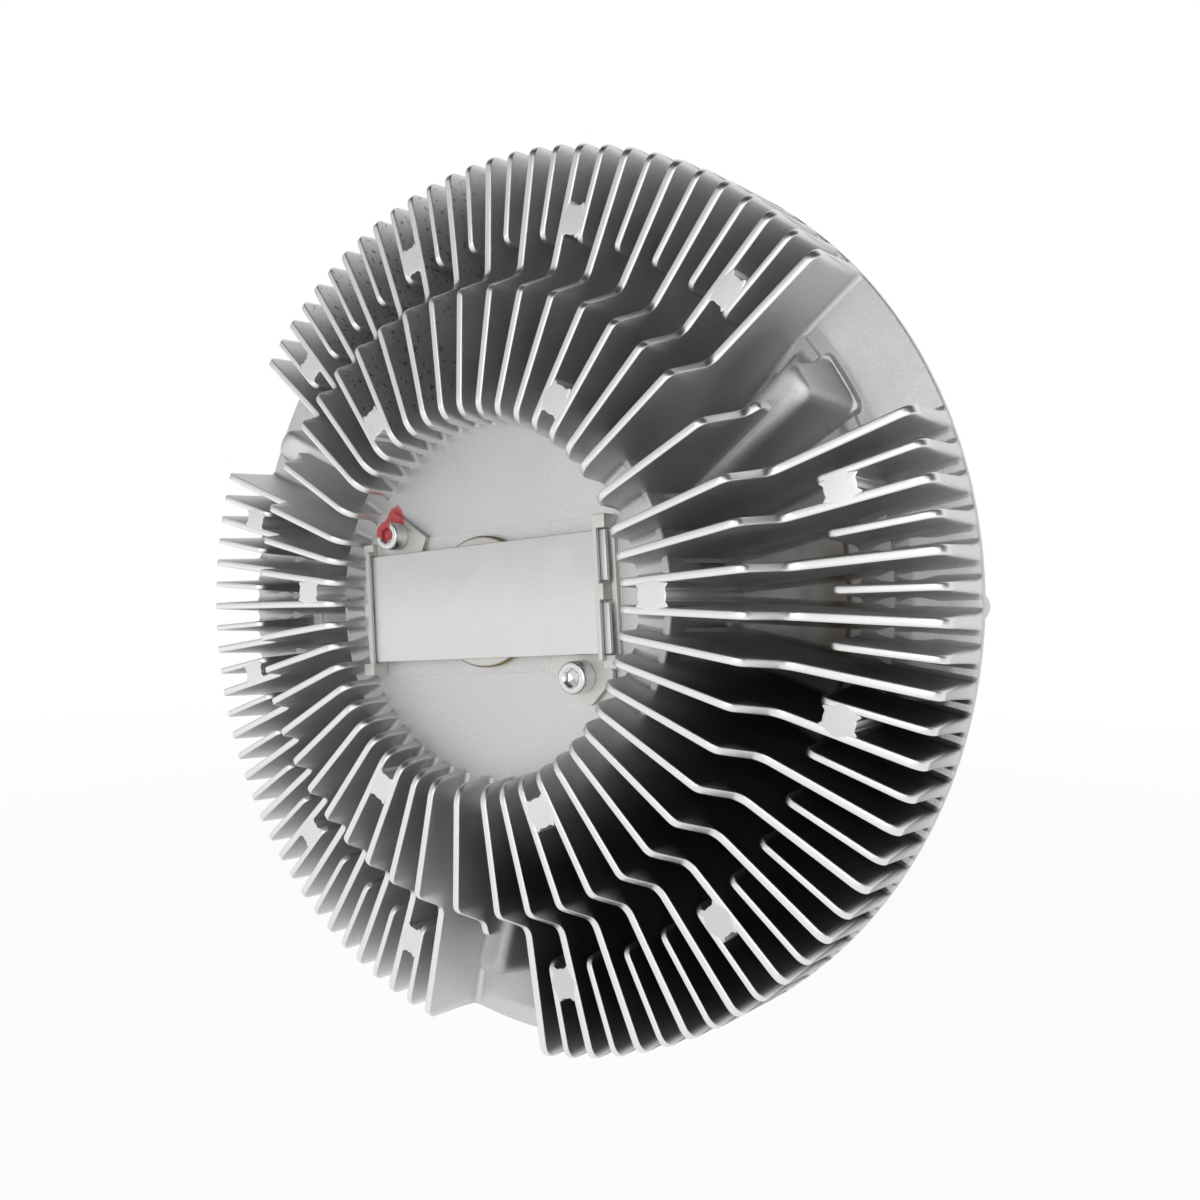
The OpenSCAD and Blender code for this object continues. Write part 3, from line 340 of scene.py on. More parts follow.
# %% Fins: one formula for thickness
FIN_IN_R, FIN_HIGH, FIN_LOW, FIN_STEP_R, FIN_FOOT_R = 48.5, 33.0, 21.2, 83.6, 89.3
FIN_OUT_R, FIN_LEAN, SHORT_IN_R = RIM_R - 0.05, 1.5, 97.3
LONG_HALF, SHORT_HALF = 1.0, 0.875
DRAFT_HIGH, DRAFT_LOW = math.tan(math.radians(0.4)), math.tan(math.radians(2.2))
EDGE, FILLET, SINK, STATION_GAP = 0.42, 1.3, 1.2, 7.0
NEAR_END = EDGE * np.array([0.04, 0.15, 0.35, 0.65, 1.0])
FROM_TOP = EDGE * np.array([0, 0.06, 0.2, 0.45, 0.75, 1.0])
FROM_FOOT = SINK + FILLET * np.array([0.0, 0.25, 0.6, 1.0])
MOST_OF_FIN, STEEP, STEEP_LOSS = 0.45, 3.0, 0.6


def outline_distance(r, h, path):
    """Distance from each point (r, h) to the nearest stretch of the path."""
    a, b = path[:-1], path[1:]
    d = b - a
    p = np.stack([r, h], -1)[..., None, :] - a
    t = np.clip((p * d).sum(-1) / (d * d).sum(-1), 0, 1)
    return np.linalg.norm(p - t[..., None] * d, axis=-1).min(-1)


def stations(path):
    """Radii for a fin's sections: the path's own, a few close to each end, and no gap wider than asked."""
    r0, r1 = path[0, 0], path[-1, 0]
    wide = np.linspace(r0, r1, int((r1 - r0) / STATION_GAP) + 1)
    return np.unique(np.round(np.concatenate([path[:, 0], r0 + NEAR_END, r1 - NEAR_END, wide]), 3))


def there_and_back(left, sign=1):
    """The left half of each section up to the top, and its mirror image down the right side."""
    return np.concatenate([left, sign * left[:, -2::-1]], 1)


def fin_grid(path, foot, half, top, knee=FIN_LOW):
    """Sections of a fin at constant radius, each from its left foot over the top to its right foot.
    Half thickness: (half at the top + draft) x rounding(distance to the outline) + flare at the floor.
    The fourth value is the wear, with a painted highlight, which falls from 1 at the outline to 0 an edge's
    width inside it, and is less where the outline is steep."""
    r = stations(path)
    crest = np.interp(r, path[:, 0], path[:, 1])
    ground = foot(r)
    low = np.minimum(ground - SINK, crest - 0.2)
    most = MOST_OF_FIN * (crest - low)[:, None]
    upper = crest[:, None] - np.minimum(FROM_TOP, most * FROM_TOP / FROM_TOP[-1])
    lower = low[:, None] + np.minimum(FROM_FOOT, most * FROM_FOOT / FROM_FOOT[-1])
    knees = np.clip(knee, lower[:, -1:] + 0.01, upper[:, -1:] - 0.01)
    h = np.concatenate([low[:, None], lower, knees, upper[:, ::-1]], 1)
    rr = np.broadcast_to(r[:, None], h.shape)
    inside = np.clip(outline_distance(rr, h, path) / EDGE, 0, 1)
    rounding = (1 - (1 - inside) ** 3) ** (1 / 3)
    thick = half + np.clip(top - np.maximum(h, knee), 0, None) * DRAFT_HIGH
    thick = thick + np.clip(knee - h, 0, None) * DRAFT_LOW
    above = np.clip(h - ground[:, None], 0, FILLET)
    flare = FILLET - np.sqrt(FILLET ** 2 - (FILLET - above) ** 2)
    y = thick * rounding + flare * (inside > 0)
    steep = soft_step((np.abs(np.gradient(crest, r)) - STEEP) / STEEP)[:, None]
    wear_and_highlight = (1 - inside) * (1 - STEEP_LOSS * steep)
    return there_and_back(rr), there_and_back(y, -1), there_and_back(h), there_and_back(wear_and_highlight)


def fin_copies(x, y, h, wear_and_highlight, angles, lift=place):
    """The same fin at several angles round the axis, with a closed foot."""
    px, py = turned(x[None], y[None], np.asarray(angles, float)[:, None, None])
    faces = grid_faces(*x.shape, copies=len(angles), close_cols=True)
    return lift(px, py, np.broadcast_to(h, px.shape)), faces, np.tile(wear_and_highlight.ravel(), len(angles))


# %% [markdown]
# There are three sectors of fifteen long fins with a short fin between each two, and one more long fin
# in the middle of each gap that ends on the ridge. A long fin starts on the disc, runs level, steps down
# and runs level again to the rim. Round columns, left by the mould's ejectors, bridge some slots to the
# fins' height.

# %% Fins: outlines, angles and columns
FINS_PER_SECTOR = 15
FIN_STEP = (SECTOR_ANGLE - GAP_ANGLE) / (FINS_PER_SECTOR - 1)
sector_start = GAP_START + GAP_ANGLE / 2 + np.arange(SECTORS) * SECTOR_ANGLE
long_angles = (sector_start[:, None] + np.arange(FINS_PER_SECTOR) * FIN_STEP).ravel()
short_angles = (sector_start[:, None] + (np.arange(FINS_PER_SECTOR - 1) + 0.5) * FIN_STEP).ravel()
middle_angles = sector_start - GAP_ANGLE / 2

rise = [
    (FIN_IN_R, DISC_H - 3, 0), (FIN_IN_R + 1.1, FIN_HIGH, 5),
    (FIN_STEP_R, FIN_HIGH, 3), (FIN_FOOT_R, FIN_LOW, 4)
]
rim_end = [(FIN_OUT_R - FIN_LEAN, FIN_LOW, 3.5), (FIN_OUT_R, 0, 0)]
long_path = rounded(rise + rim_end)
short_path = rounded([(SHORT_IN_R, -4, 0), (SHORT_IN_R + 0.6, FIN_LOW, 3)] + rim_end)
middle_path = rounded(rise + [(FIN_FOOT_R + 3.9, FIN_LOW - 1.2, 1.5), (FIN_FOOT_R + 5.5, 12, 0)])


def fin_foot(r):
    """What a fin stands on: the disc inside the hub, the slot floor outside it."""
    return np.where(r < HUB_R - 0.3, DISC_H, np.minimum(sector_height(np.maximum(r, HUB_FOOT_R)), 0))


fin_parts = [
    fin_copies(*fin_grid(long_path, fin_foot, LONG_HALF, FIN_HIGH), long_angles),
    fin_copies(*fin_grid(short_path, fin_foot, SHORT_HALF, FIN_LOW), short_angles),
    fin_copies(*fin_grid(middle_path, fin_foot, LONG_HALF, FIN_HIGH), middle_angles),
]

COLUMN_R, COLUMN_FLARE, COLUMN_ROUND, COLUMN_STEPS = 3.9, 1.3, 0.12, 96
FLARE_RISE, FLARE_FALL = 10, 20  # degrees before and after the direction in which a fin is met
# column tops take wear and a painted highlight: paler and smoother
COLUMN_TOP, COLUMN_WEAR_AND_HIGHLIGHT = 0.3, 0.6
INNER_COLUMN_R, INNER_SLOT, OUTER_COLUMN_R, OUTER_SLOT = 60.0, 5.3, 103.7, 4.4
inner_steps = np.array([2.5, FINS_PER_SECTOR - 3.5])
outer_steps = np.array([0.75, 4.75, FINS_PER_SECTOR - 5.75, FINS_PER_SECTOR - 1.75])


def columns(low, high, steps, radius, fin_gap):
    """Columns at that radius, counted in fin steps from each sector's first fin. Seen from the front a
    column is a circle that flares out towards the two fins beside it, half of fin_gap away from its middle:
    the radius grows by the square of how far the direction has turned to where the fin's face is met."""
    rows = rounded([(0, low, 0), (1, low, 0), (1, high, COLUMN_ROUND), (0, high, 0)], 4)
    t = (np.arange(COLUMN_STEPS) + 0.5) * 2 * np.pi / COLUMN_STEPS
    from_slot = np.degrees(np.abs(np.mod(t + np.pi / 2, np.pi) - np.pi / 2))
    met = math.degrees(math.asin(fin_gap / 2 / (COLUMN_R + COLUMN_FLARE)))
    growth = np.clip((from_slot - met + FLARE_RISE) / FLARE_RISE, 0, 1) ** 2
    flare = COLUMN_FLARE * np.where(from_slot < met, growth, 1.0)
    flare = flare * np.clip((met + FLARE_FALL - from_slot) / FLARE_FALL, 0, 1)
    r = rows[:, :1] * (COLUMN_R + flare)
    angles = (sector_start[:, None] + steps * FIN_STEP).ravel()
    x, y = turned(radius + r * np.cos(t), r * np.sin(t), angles[:, None, None])
    faces = grid_faces(*r.shape, copies=len(angles), close_cols=True)
    wear_and_highlight = np.broadcast_to(rows[:, 1:2] > high - COLUMN_TOP, x.shape).ravel() * COLUMN_WEAR_AND_HIGHLIGHT
    return place(x, y, np.broadcast_to(rows[:, 1:2], x.shape)), faces, wear_and_highlight


fin_parts += [
    columns(-FLOOR_DROP - 1, FIN_HIGH, inner_steps, INNER_COLUMN_R, INNER_SLOT),
    columns(-STEP_DROP - 1, FIN_LOW, outer_steps, OUTER_COLUMN_R, OUTER_SLOT),
]

# %% [markdown]
# Under the strip the disc carries a low milled flat with straight long sides and round ends.

# %% Cover: milled band
STRIP_ANGLE, BAND_H, BAND_HALF_W, BAND_HALF_L, BAND_R = 4.2, 0.4, 20.0, 44.0, 47.5
BAND_ROWS, BAND_COLS, BAND_SINK = 25, 19, -0.3


def band_sheet():
    """A thin plate whose rows go across; each row ends where the plate's end or the round limit is. Its
    edge goes down to BAND_SINK of its height, into the disc."""
    edge = np.array([(-1.0, BAND_SINK), (-1.0, 0.7), (-0.99, 1.0)])
    share = np.concatenate([edge[:, 0], np.linspace(-0.9, 0.9, BAND_COLS), -edge[::-1, 0]])
    level = np.concatenate([edge[:, 1], np.ones(BAND_COLS), edge[::-1, 1]])
    across = np.linspace(-1, 1, BAND_ROWS) * 0.995
    v = np.concatenate([[-1.0], across, [1.0]])[:, None] * BAND_HALF_W
    reach = np.minimum(BAND_HALF_L, np.sqrt(BAND_R ** 2 - v ** 2))
    end = np.ones((len(v), 1))
    end[[0, -1]] = BAND_SINK
    h = DISC_H + BAND_H * np.minimum(level[None], end)
    x, y = turned(reach * share[None], v + 0 * share[None], STRIP_ANGLE)
    return place(x, y, h), grid_faces(*h.shape), 0.0


cover_parts.append(band_sheet())
cover = build("cover_casting", cover_parts, "housing", "front_cover")
fins = build("cover_fins", fin_parts, "housing", "front_cover", sharp=50)

# %% [markdown]
# The bimetal strip is a plain sheet of two bonded metals. It lies in both brackets with its ends
# notched. When it warms, its middle bows outwards and lets the control pin follow. It is built as two
# halves that meet at its middle, neither attached to a body. A bar is a rounded rectangle carried along
# x.

# %% Bimetal strip: two halves
STRIP_HALF_W, STRIP_H, STRIP_T = 15.65, 23.6, 1.2
STRIP_END, NOTCH_END, NOTCH_HALF = 42.9, 40.3, 2.7
SHEET_EDGE, CORNER_STEPS = 0.25, 4


def bar(x, y, h, count, end_round=False):
    """A rounded box between pairs of x, y and h: rings across it, drawn in by a quarter circle at the outer
    end if that is rounded, and closed by a last ring at the middle of the section."""
    edge = SHEET_EDGE
    near = edge * np.array([1.0, 0.7, 0.35, 0.1, 0.0] if end_round else [0.0])
    last = x[1] - near
    along = np.concatenate([np.linspace(x[0], last[0], count)[:-1], last])
    to_end = np.clip(x[1] - along if end_round else edge + 0 * along, 0, edge)
    inset = edge - np.sqrt(np.clip(edge ** 2 - (edge - to_end) ** 2, 0, None))
    t = np.radians(np.linspace(0, 90, CORNER_STEPS) + np.array([0, 90, 180, 270])[:, None])
    corner_y = np.array([y[1] - edge, y[0] + edge, y[0] + edge, y[1] - edge])[:, None]
    corner_h = np.array([h[1] - edge, h[1] - edge, h[0] + edge, h[0] + edge])[:, None]
    reach = (edge - inset)[:, None]
    ring_y = corner_y.repeat(CORNER_STEPS, 1).ravel() + reach * np.cos(t).ravel()
    ring_h = corner_h.repeat(CORNER_STEPS, 1).ravel() + reach * np.sin(t).ravel()
    middle = np.full((1, ring_y.shape[1]), 1.0)
    ring_y = np.concatenate([middle * np.mean(y), ring_y, middle * np.mean(y)])
    ring_h = np.concatenate([middle * np.mean(h), ring_h, middle * np.mean(h)])
    along = np.concatenate([along[:1], along, along[-1:]])[:, None]
    return along + 0 * ring_y, ring_y, ring_h


def on_strip(x, y, h, side):
    """A grid in the strip's own directions as a part of a mesh; side 180 is the half turn to the left."""
    px, py = turned(x, y, STRIP_ANGLE + side)
    return place(px, py, h), grid_faces(*x.shape, close_cols=True), 0.0


level = (STRIP_H, STRIP_H + STRIP_T)
sheet = bar((0, NOTCH_END), (-STRIP_HALF_W, STRIP_HALF_W), level, 24)
ears = [
    bar((NOTCH_END + 0.005, STRIP_END), sides, level, 4, end_round=True)
    for sides in ((NOTCH_HALF, STRIP_HALF_W), (-STRIP_HALF_W, -NOTCH_HALF))
]
strip_middle = place(0, 0, STRIP_H)[0]
strip_halves = []
for title, side in (("strip_right_half", 0), ("strip_left_half", 180)):
    shells = [on_strip(*shape, side) for shape in [sheet] + ears]
    half = build(title, shells, None, "bimetal_strip")
    held_end = place(*turned(NOTCH_END, 0.0, STRIP_ANGLE + side), STRIP_H)[0]
    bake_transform(half)
    strip_halves.append(half)

# %% [markdown]
# A socket head cap screw is turned, with a hexagon socket in its head. As a grid it is a lathe whose
# radius depends on the angle in the rows of the socket: a hexagon's radius is its half width over the
# cosine of the angle from the nearest flat. The knurl on the head is a fine ripple of the radius.

# %% Cap screws
SCREW_R, HEAD_R, HEAD_H, SOCKET_HALF, SOCKET_DEPTH = 2.48, 4.25, 5.0, 2.0, 1.7
KNURLS, KNURL_DEPTH, SCREW_STEPS = 36, 0.07, 144


def round_centres(r, h, t, centres, lift, closed=False):
    """Rows of radii r, by angles t, at heights h round each centre (x, y): x + r cos t, y + r sin t."""
    x = np.asarray(centres)[:, None, None, 0] + r * np.cos(t)
    y = np.asarray(centres)[:, None, None, 1] + r * np.sin(t)
    faces = grid_faces(len(h), len(t), len(centres), close_rows=closed, close_cols=True)
    return lift(x, y, np.broadcast_to(h, x.shape)), faces, 0.0


def cap_screws(shank, centres, lift):
    """Cap screws with their seat at height 0: rows of (radius, height, knurl share, socket share)."""
    rows = np.array([
        (0, -shank, 0, 0), (SCREW_R - 0.5, -shank, 0, 0), (SCREW_R, -shank + 0.5, 0, 0), (SCREW_R, 0, 0, 0),
        (HEAD_R - 0.2, 0, 0, 0), (HEAD_R, 0.2, 1, 0), (HEAD_R, HEAD_H - 0.8, 1, 0),
        (HEAD_R - 0.05, HEAD_H - 0.5, 0, 0), (HEAD_R - 0.2, HEAD_H - 0.2, 0, 0),
        (HEAD_R - 0.5, HEAD_H - 0.03, 0, 0), (HEAD_R - 0.8, HEAD_H, 0, 0),
        (SOCKET_HALF + 0.75, HEAD_H, 0, 0), (SOCKET_HALF + 0.55, HEAD_H - 0.05, 0, 0),
        (0, HEAD_H - 0.45, 0, 1), (0, HEAD_H - SOCKET_DEPTH, 0, 1), (0, HEAD_H - SOCKET_DEPTH - 0.8, 0, 0)
    ])
    t = np.arange(SCREW_STEPS) * 2 * np.pi / SCREW_STEPS
    flat = np.mod(t + np.pi / 6, np.pi / 3) - np.pi / 6
    r = rows[:, :1] - KNURL_DEPTH * rows[:, 2:3] * (0.5 + 0.5 * np.cos(KNURLS * t))
    r = r + rows[:, 3:] * SOCKET_HALF / np.cos(flat)
    return round_centres(r, rows[:, 1:2], t, centres, lift)


FOOT_TOP_H, BRACKET_SHANK, BRACKET_SCREW = 21.9, 9.0, (31.6, -21.4)
FLANGE_BACK_H, RIM_SHANK, RIM_SCREW_R, RIM_SCREWS = -18.0, 16.0, 117.15, 12
bracket_places = np.array([turned(*BRACKET_SCREW, STRIP_ANGLE + side) for side in (0, 180)])
rim_places = np.stack(turned(RIM_SCREW_R, 0.0, np.arange(RIM_SCREWS) * 360 / RIM_SCREWS), -1)
bracket_shell = cap_screws(BRACKET_SHANK, bracket_places, lambda x, y, h: place(x, y, FOOT_TOP_H + h))
rim_shell = cap_screws(RIM_SHANK, rim_places, lambda x, y, h: place(x, y, FLANGE_BACK_H - h))
screws = build("bracket_cap_screws", [bracket_shell], "housing", "bracket_screws", 35)
rim_screws = build("rim_cap_screws", [rim_shell], "housing", "housing_screws", 35)

# %% [markdown]
# The rear housing is the other casting. Seen from behind it has a hub for the bearing, ribs out to the
# ring that centres the fan, six bosses for the fan's screws and a crown of fins. Its round shapes are
# turned, and its fins come from the function for the cover's fins, with the direction of height reversed.

# %% Rear housing
BACK_Z, HUB_END_Z, CHAMBER_Z, BEARING_Z, FLANGE_Z, FAN_FACE_Z = 40.0, 21.0, 46.5, 43.0, 60.0, 20.0
WALL_R, BACK_CORNER, BEARING_HUB_R, BEARING_SEAT_R = CHAMBER_R + 3.6, 6.0, 46.0, 36.02
PILOT_R, PILOT_T, PILOT_Z, SEAT_W, BOSS_R, FAN_R = 76.0, 6.0, 16.0, 1.5, 10.0, 89.0
REAR_FIN_H, REAR_RIB_H, REAR_HALF, REAR_FINS, REAR_RIBS, BOSSES = 16.0, 12.0, 1.3, 48, 24, 6
SHOULDER_R, SPIGOT_END_Z, FACE_Z, CLIP_Z, CLIP_DEPTH, BOSS_HOLE_R = 31, 61, 68, (23.96, 26), 2, 3.4


def from_drive_face(x, y, z):
    """Points given by their distance z from the drive face."""
    return place(x, y, z - RIM_Z)


def from_back(x, y, h):
    """Points given by their height h above the housing's back, towards the rear."""
    return place(x, y, BACK_Z - h - RIM_Z)


def lathe(profile, steps, centres=((0, 0),), closed=True):
    """A turned shape, profile (radius, distance from the drive face), at each centre (x, y). The profile is
    closed in itself for a ring, or starts and ends on the axis."""
    t = np.arange(steps) * 2 * np.pi / steps
    return round_centres(profile[:, :1], profile[:, 1:], t, centres, from_drive_face, closed)


housing_section = rounded([
    (SHOULDER_R, BEARING_Z, 0), (SHOULDER_R, CHAMBER_Z, 0.5), (CHAMBER_R, CHAMBER_Z, 1),
    (CHAMBER_R, SPIGOT_END_Z, 0), (SPIGOT_R + 0.02, SPIGOT_END_Z, 0), (SPIGOT_R + 0.02, FACE_Z, 0),
    (JOINT_R, FACE_Z, 0.4), (JOINT_R, FLANGE_Z, 1.2), (WALL_R, FLANGE_Z, 1.5),
    (WALL_R, BACK_Z + BACK_CORNER, 3), (WALL_R - BACK_CORNER, BACK_Z, 3), (BEARING_HUB_R + 0.4, BACK_Z, 2),
    (BEARING_HUB_R, HUB_END_Z, 1.2), (BEARING_SEAT_R, HUB_END_Z, 0.5), (BEARING_SEAT_R, CLIP_Z[0], 0),
    (BEARING_SEAT_R + CLIP_DEPTH, CLIP_Z[0], 0), (BEARING_SEAT_R + CLIP_DEPTH, CLIP_Z[1], 0),
    (BEARING_SEAT_R, CLIP_Z[1], 0), (BEARING_SEAT_R, BEARING_Z, 0)
])
pilot_section = rounded([
    (PILOT_R - PILOT_T, BACK_Z + 1, 0), (PILOT_R - PILOT_T, PILOT_Z, 0.8), (PILOT_R, PILOT_Z, 0.8),
    (PILOT_R, FAN_FACE_Z, 0), (PILOT_R + SEAT_W, FAN_FACE_Z, 0.3), (PILOT_R + SEAT_W, BACK_Z + 1, 0)
])
boss_section = rounded([
    (0, BACK_Z - 2, 0), (BOSS_HOLE_R, BACK_Z - 2, 0), (BOSS_HOLE_R, FAN_FACE_Z + 0.5, 0),
    (BOSS_HOLE_R + 0.5, FAN_FACE_Z, 0), (BOSS_R - 0.2, FAN_FACE_Z, 0.7), (BOSS_R + 0.2, BACK_Z + 1, 0),
    (0, BACK_Z + 1, 0)
])
rear_path = rounded([
    (PILOT_R - 1, 0, 0), (PILOT_R - 0.9, REAR_FIN_H, 0), (FAN_R + 6, REAR_FIN_H, 5), (WALL_R - 1.5, 2, 3),
    (WALL_R - 1, -BACK_CORNER, 0)
])
rib_path = rounded([
    (BEARING_HUB_R - 1, 0, 0), (BEARING_HUB_R - 0.9, REAR_RIB_H, 0),
    (PILOT_R - PILOT_T + 0.9, REAR_RIB_H, 0), (PILOT_R - PILOT_T + 1, 0, 0)
])


def back_ground(r):
    """Height of the housing's back at radius r: flat, then down along the chamfered corner."""
    return -np.clip(r - WALL_R + BACK_CORNER, 0, None)


boss_places = np.stack(turned(FAN_R, 0.0, np.arange(BOSSES) * 360 / BOSSES), -1)
fin_turns, rib_turns = ((np.arange(count) + 0.5) * 360 / count for count in (REAR_FINS, REAR_RIBS))
rear_fin = fin_grid(rear_path, back_ground, REAR_HALF, REAR_FIN_H, knee=0.0)
rear_rib = fin_grid(rib_path, back_ground, REAR_HALF, REAR_RIB_H, knee=0.0)
housing_parts = [
    lathe(housing_section, 192), lathe(pilot_section, 128),
    lathe(boss_section, 40, boss_places, closed=False),
    fin_copies(*rear_fin, fin_turns, from_back), fin_copies(*rear_rib, rib_turns, from_back),
]
rear = build("housing_casting", housing_parts, "housing", "rear_housing")

# %% [markdown]
# The remaining visible pieces have the right shape in CAD, but their edges are knife sharp. A copy of
# such a piece, merged and with its flat faces joined, takes a narrow bevel, which catches the light as a
# real edge does.

# %% Softened copies
FLAT_ANGLE, SMOOTH_ANGLE, BEVEL_ANGLE, BEVEL_SEGMENTS = 0.5, 50, 35, 2


def softened(node, body, width):
    """A copy of a CAD node with its edges broken by a bevel of that width in mm."""
    mesh = nodes[node].data.copy()
    work = bmesh.new()
    work.from_mesh(mesh)
    bmesh.ops.remove_doubles(work, verts=work.verts, dist=MERGE)
    flat = math.radians(FLAT_ANGLE)
    bmesh.ops.dissolve_limit(work, angle_limit=flat, verts=work.verts, edges=work.edges)
    work.to_mesh(mesh)
    work.free()
    mesh.materials.clear()
    piece = piece_of(node + "_soft", mesh, body, node, SMOOTH_ANGLE)
    bevel = piece.modifiers.new("broken edge", "BEVEL")
    bevel.width, bevel.segments, bevel.limit_method = width * MM, BEVEL_SEGMENTS, "ANGLE"
    bevel.angle_limit = math.radians(BEVEL_ANGLE)
    bevel.harden_normals = True
    print(piece.name, len(mesh.polygons), "faces before the bevel")
    return piece


brackets = [softened(side + "_bracket", "housing", 0.22) for side in ("left", "right")]
bush = softened("pin_bush", "housing", 0.15)
shaft = softened("drive_shaft", "drive", 0.6)
circlip = softened("bearing_circlip", "housing", 0.15)

# %% [markdown]
# Finishes. Colours are written as they look on a screen and turned to linear light by one function. One
# more function adds a node: its settings, then its sockets, each fed by a constant or by another node's
# output. Another links the finished looks to a material's shader.

# %% Colour and nodes
COLOUR_MIX = {"data_type": "RGBA", "out": 2}  # makes a Mix node mix colours, and takes its colour output


def linear(colour):
    """sRGB hex to linear RGBA: c / 12.92 below 0.04045, else ((c + 0.055) / 1.055) to the power 2.4."""
    c = np.array([int(colour[i:i + 2], 16) for i in (1, 3, 5)]) / 255
    c = np.where(c <= 0.04045, c / 12.92, ((c + 0.055) / 1.055) ** 2.4)
    return (*c.tolist(), 1.0)


def add(tree, kind, sockets, out=0, **settings):
    """One shader node of that kind with its settings, and sockets by name or number set or linked. It gives
    the output that is asked for, by name or number."""
    made = tree.nodes.new("ShaderNode" + kind)
    for name, value in settings.items():
        setattr(made, name, value)
    for name, value in sockets.items():
        if isinstance(value, bpy.types.NodeSocket):
            tree.links.new(value, made.inputs[name])
        else:
            made.inputs[name].default_value = value
    return made.outputs[out]


def begin(name, sockets):
    """A new material with one Principled shader, its sockets set, and the Object coordinates to read."""
    material = bpy.data.materials.new(name)
    material.use_nodes = True
    tree = material.node_tree
    shader = tree.nodes["Principled BSDF"]
    for socket, value in sockets.items():
        shader.inputs[socket].default_value = value
    place_in_object = add(tree, "TexCoord", {}, "Object")
    return material, tree, shader, place_in_object


def dress(tree, shader, looks):
    """Links the shader's sockets, by name, to the outputs that feed them."""
    for socket, output in looks.items():
        tree.links.new(output, shader.inputs[socket])


def per_mm(size):
    """Scale of a noise texture whose cells are that many millimetres wide."""
    return 1 / (size * MM)


def give(material, *pieces):
    """Puts a material on new pieces and on CAD nodes, which keep their meshes."""
    for piece in pieces:
        if piece.material_slots:
            for held in piece.material_slots:
                held.material = material
        else:
            piece.data.materials.append(material)
    print(material.name, "on", [piece.name for piece in pieces])


# %% [markdown]
# Someone marked the left screw with red paint after setting the valve. The daub covers the screw's head,
# the foot under it and a little of the disc, so three finishes share its mask: the distance from the
# daub's middle in the strip's directions, pushed about by noise so that its edge is ragged.

# %% Paint mark
DAUB = place(*turned(-33.6, 25.7, STRIP_ANGLE), 24.0)[0]
DAUB_SIZE = np.array([4.7, 6.0, 6.2]) * MM
DAUB_PUSH = 3.5 * MM


def paint_mark(tree, where):
    """1 inside the daub, 0 outside: the length of the warped, scaled offset from its middle, cut near 1."""
    ragged = add(tree, "TexNoise", {"Vector": where, "Scale": per_mm(3.5), "Detail": 3.0}, "Color")
    push = add(tree, "VectorMath", {0: ragged, 1: (0.5, 0.5, 0.5)}, operation="SUBTRACT")
    moved = add(tree, "VectorMath", {0: push, 1: (DAUB_PUSH,) * 3, 2: where}, operation="MULTIPLY_ADD")
    own = add(tree, "Mapping", {
        "Vector": moved, "Location": tuple(DAUB), "Rotation": (0, -math.radians(STRIP_ANGLE), 0),
        "Scale": tuple(DAUB_SIZE)
    }, vector_type="TEXTURE")
    far = add(tree, "VectorMath", {0: own}, out="Value", operation="LENGTH")
    return add(tree, "MapRange", {
        "Value": far, "From Min": 0.92, "From Max": 1.05, "To Min": 1.0, "To Max": 0.0
    })


def painted(tree, looks, where):
    """Lays the red mark over a metal's looks: its colour and roughness, and no metal where paint covers."""
    mark = paint_mark(tree, where)
    red = add(tree, "TexNoise", {"Vector": where, "Scale": per_mm(2.5), "Detail": 2.0})
    shade = add(tree, "Mix", {0: red, 6: linear("#C2363F"), 7: linear("#EE7A7C")}, **COLOUR_MIX)
    over = add(tree, "Mix", {0: mark, 6: looks["Base Color"], 7: shade}, **COLOUR_MIX)
    soft = add(tree, "Mix", {0: mark, 2: looks["Roughness"], 3: 0.5})
    metal = add(tree, "Math", {0: 1.0, 1: mark}, operation="SUBTRACT")
    return {"Base Color": over, "Roughness": soft, "Metallic": metal}


# %% [markdown]
# Die-cast aluminium, shot blasted: a pale grey metal with a fine matt grit, a little cloudy where the
# skin cooled at different speeds. The fins' edges are paler, as polish from handling and as a painted
# highlight. Dust lies on the low floors, a dark painted shade lies over the slots and fins of the lower
# right, one group of slot floors is stained brown, and the upper left has small pits. These marks lie
# between angles round the axis. The grit is really about 0.2 mm; it is drawn at 0.7 mm so that it shows.

# %% Cast aluminium
# angles in radians, radii and depths in metres, each as the start and end of a soft edge
LOW_Y = (-0.0785, -0.071)
# a dark painted shade lies over the slots and fins of the lower right, between these angles and radii
PAINTED_SHADE_ANGLES, PAINTED_SHADE_RADII = ((-1.75, -1.25), (-0.2, -0.03)), (0.054, 0.080)
STAIN_ANGLES, STAIN_RADII = ((-0.25, -0.1), (0.1, 0.25)), ((0.084, 0.092), (0.106, 0.112))
PIT_ANGLES, PIT_RADII, DUST_RADII = ((1.5, 1.8), (2.2, 2.4)), (0.054, 0.060), (0.058, 0.060)


def between(tree, value, rise, fall):
    """1 between two pairs of numbers, 0 outside: a smooth rise times a smooth fall."""
    up = add(tree, "MapRange", {"Value": value, "From Min": rise[0], "From Max": rise[1]},
             interpolation_type="SMOOTHSTEP")
    down = add(tree, "MapRange", {
        "Value": value, "From Min": fall[0], "From Max": fall[1], "To Min": 1.0, "To Max": 0.0
    }, interpolation_type="SMOOTHSTEP")
    return add(tree, "Math", {0: up, 1: down}, operation="MULTIPLY")


def from_axis(tree, where):
    """Distance from the spin axis: the length of the place with its y made 0."""
    flat = add(tree, "VectorMath", {0: where, 1: (1, 0, 1)}, operation="MULTIPLY")
    return add(tree, "VectorMath", {0: flat}, out="Value", operation="LENGTH")


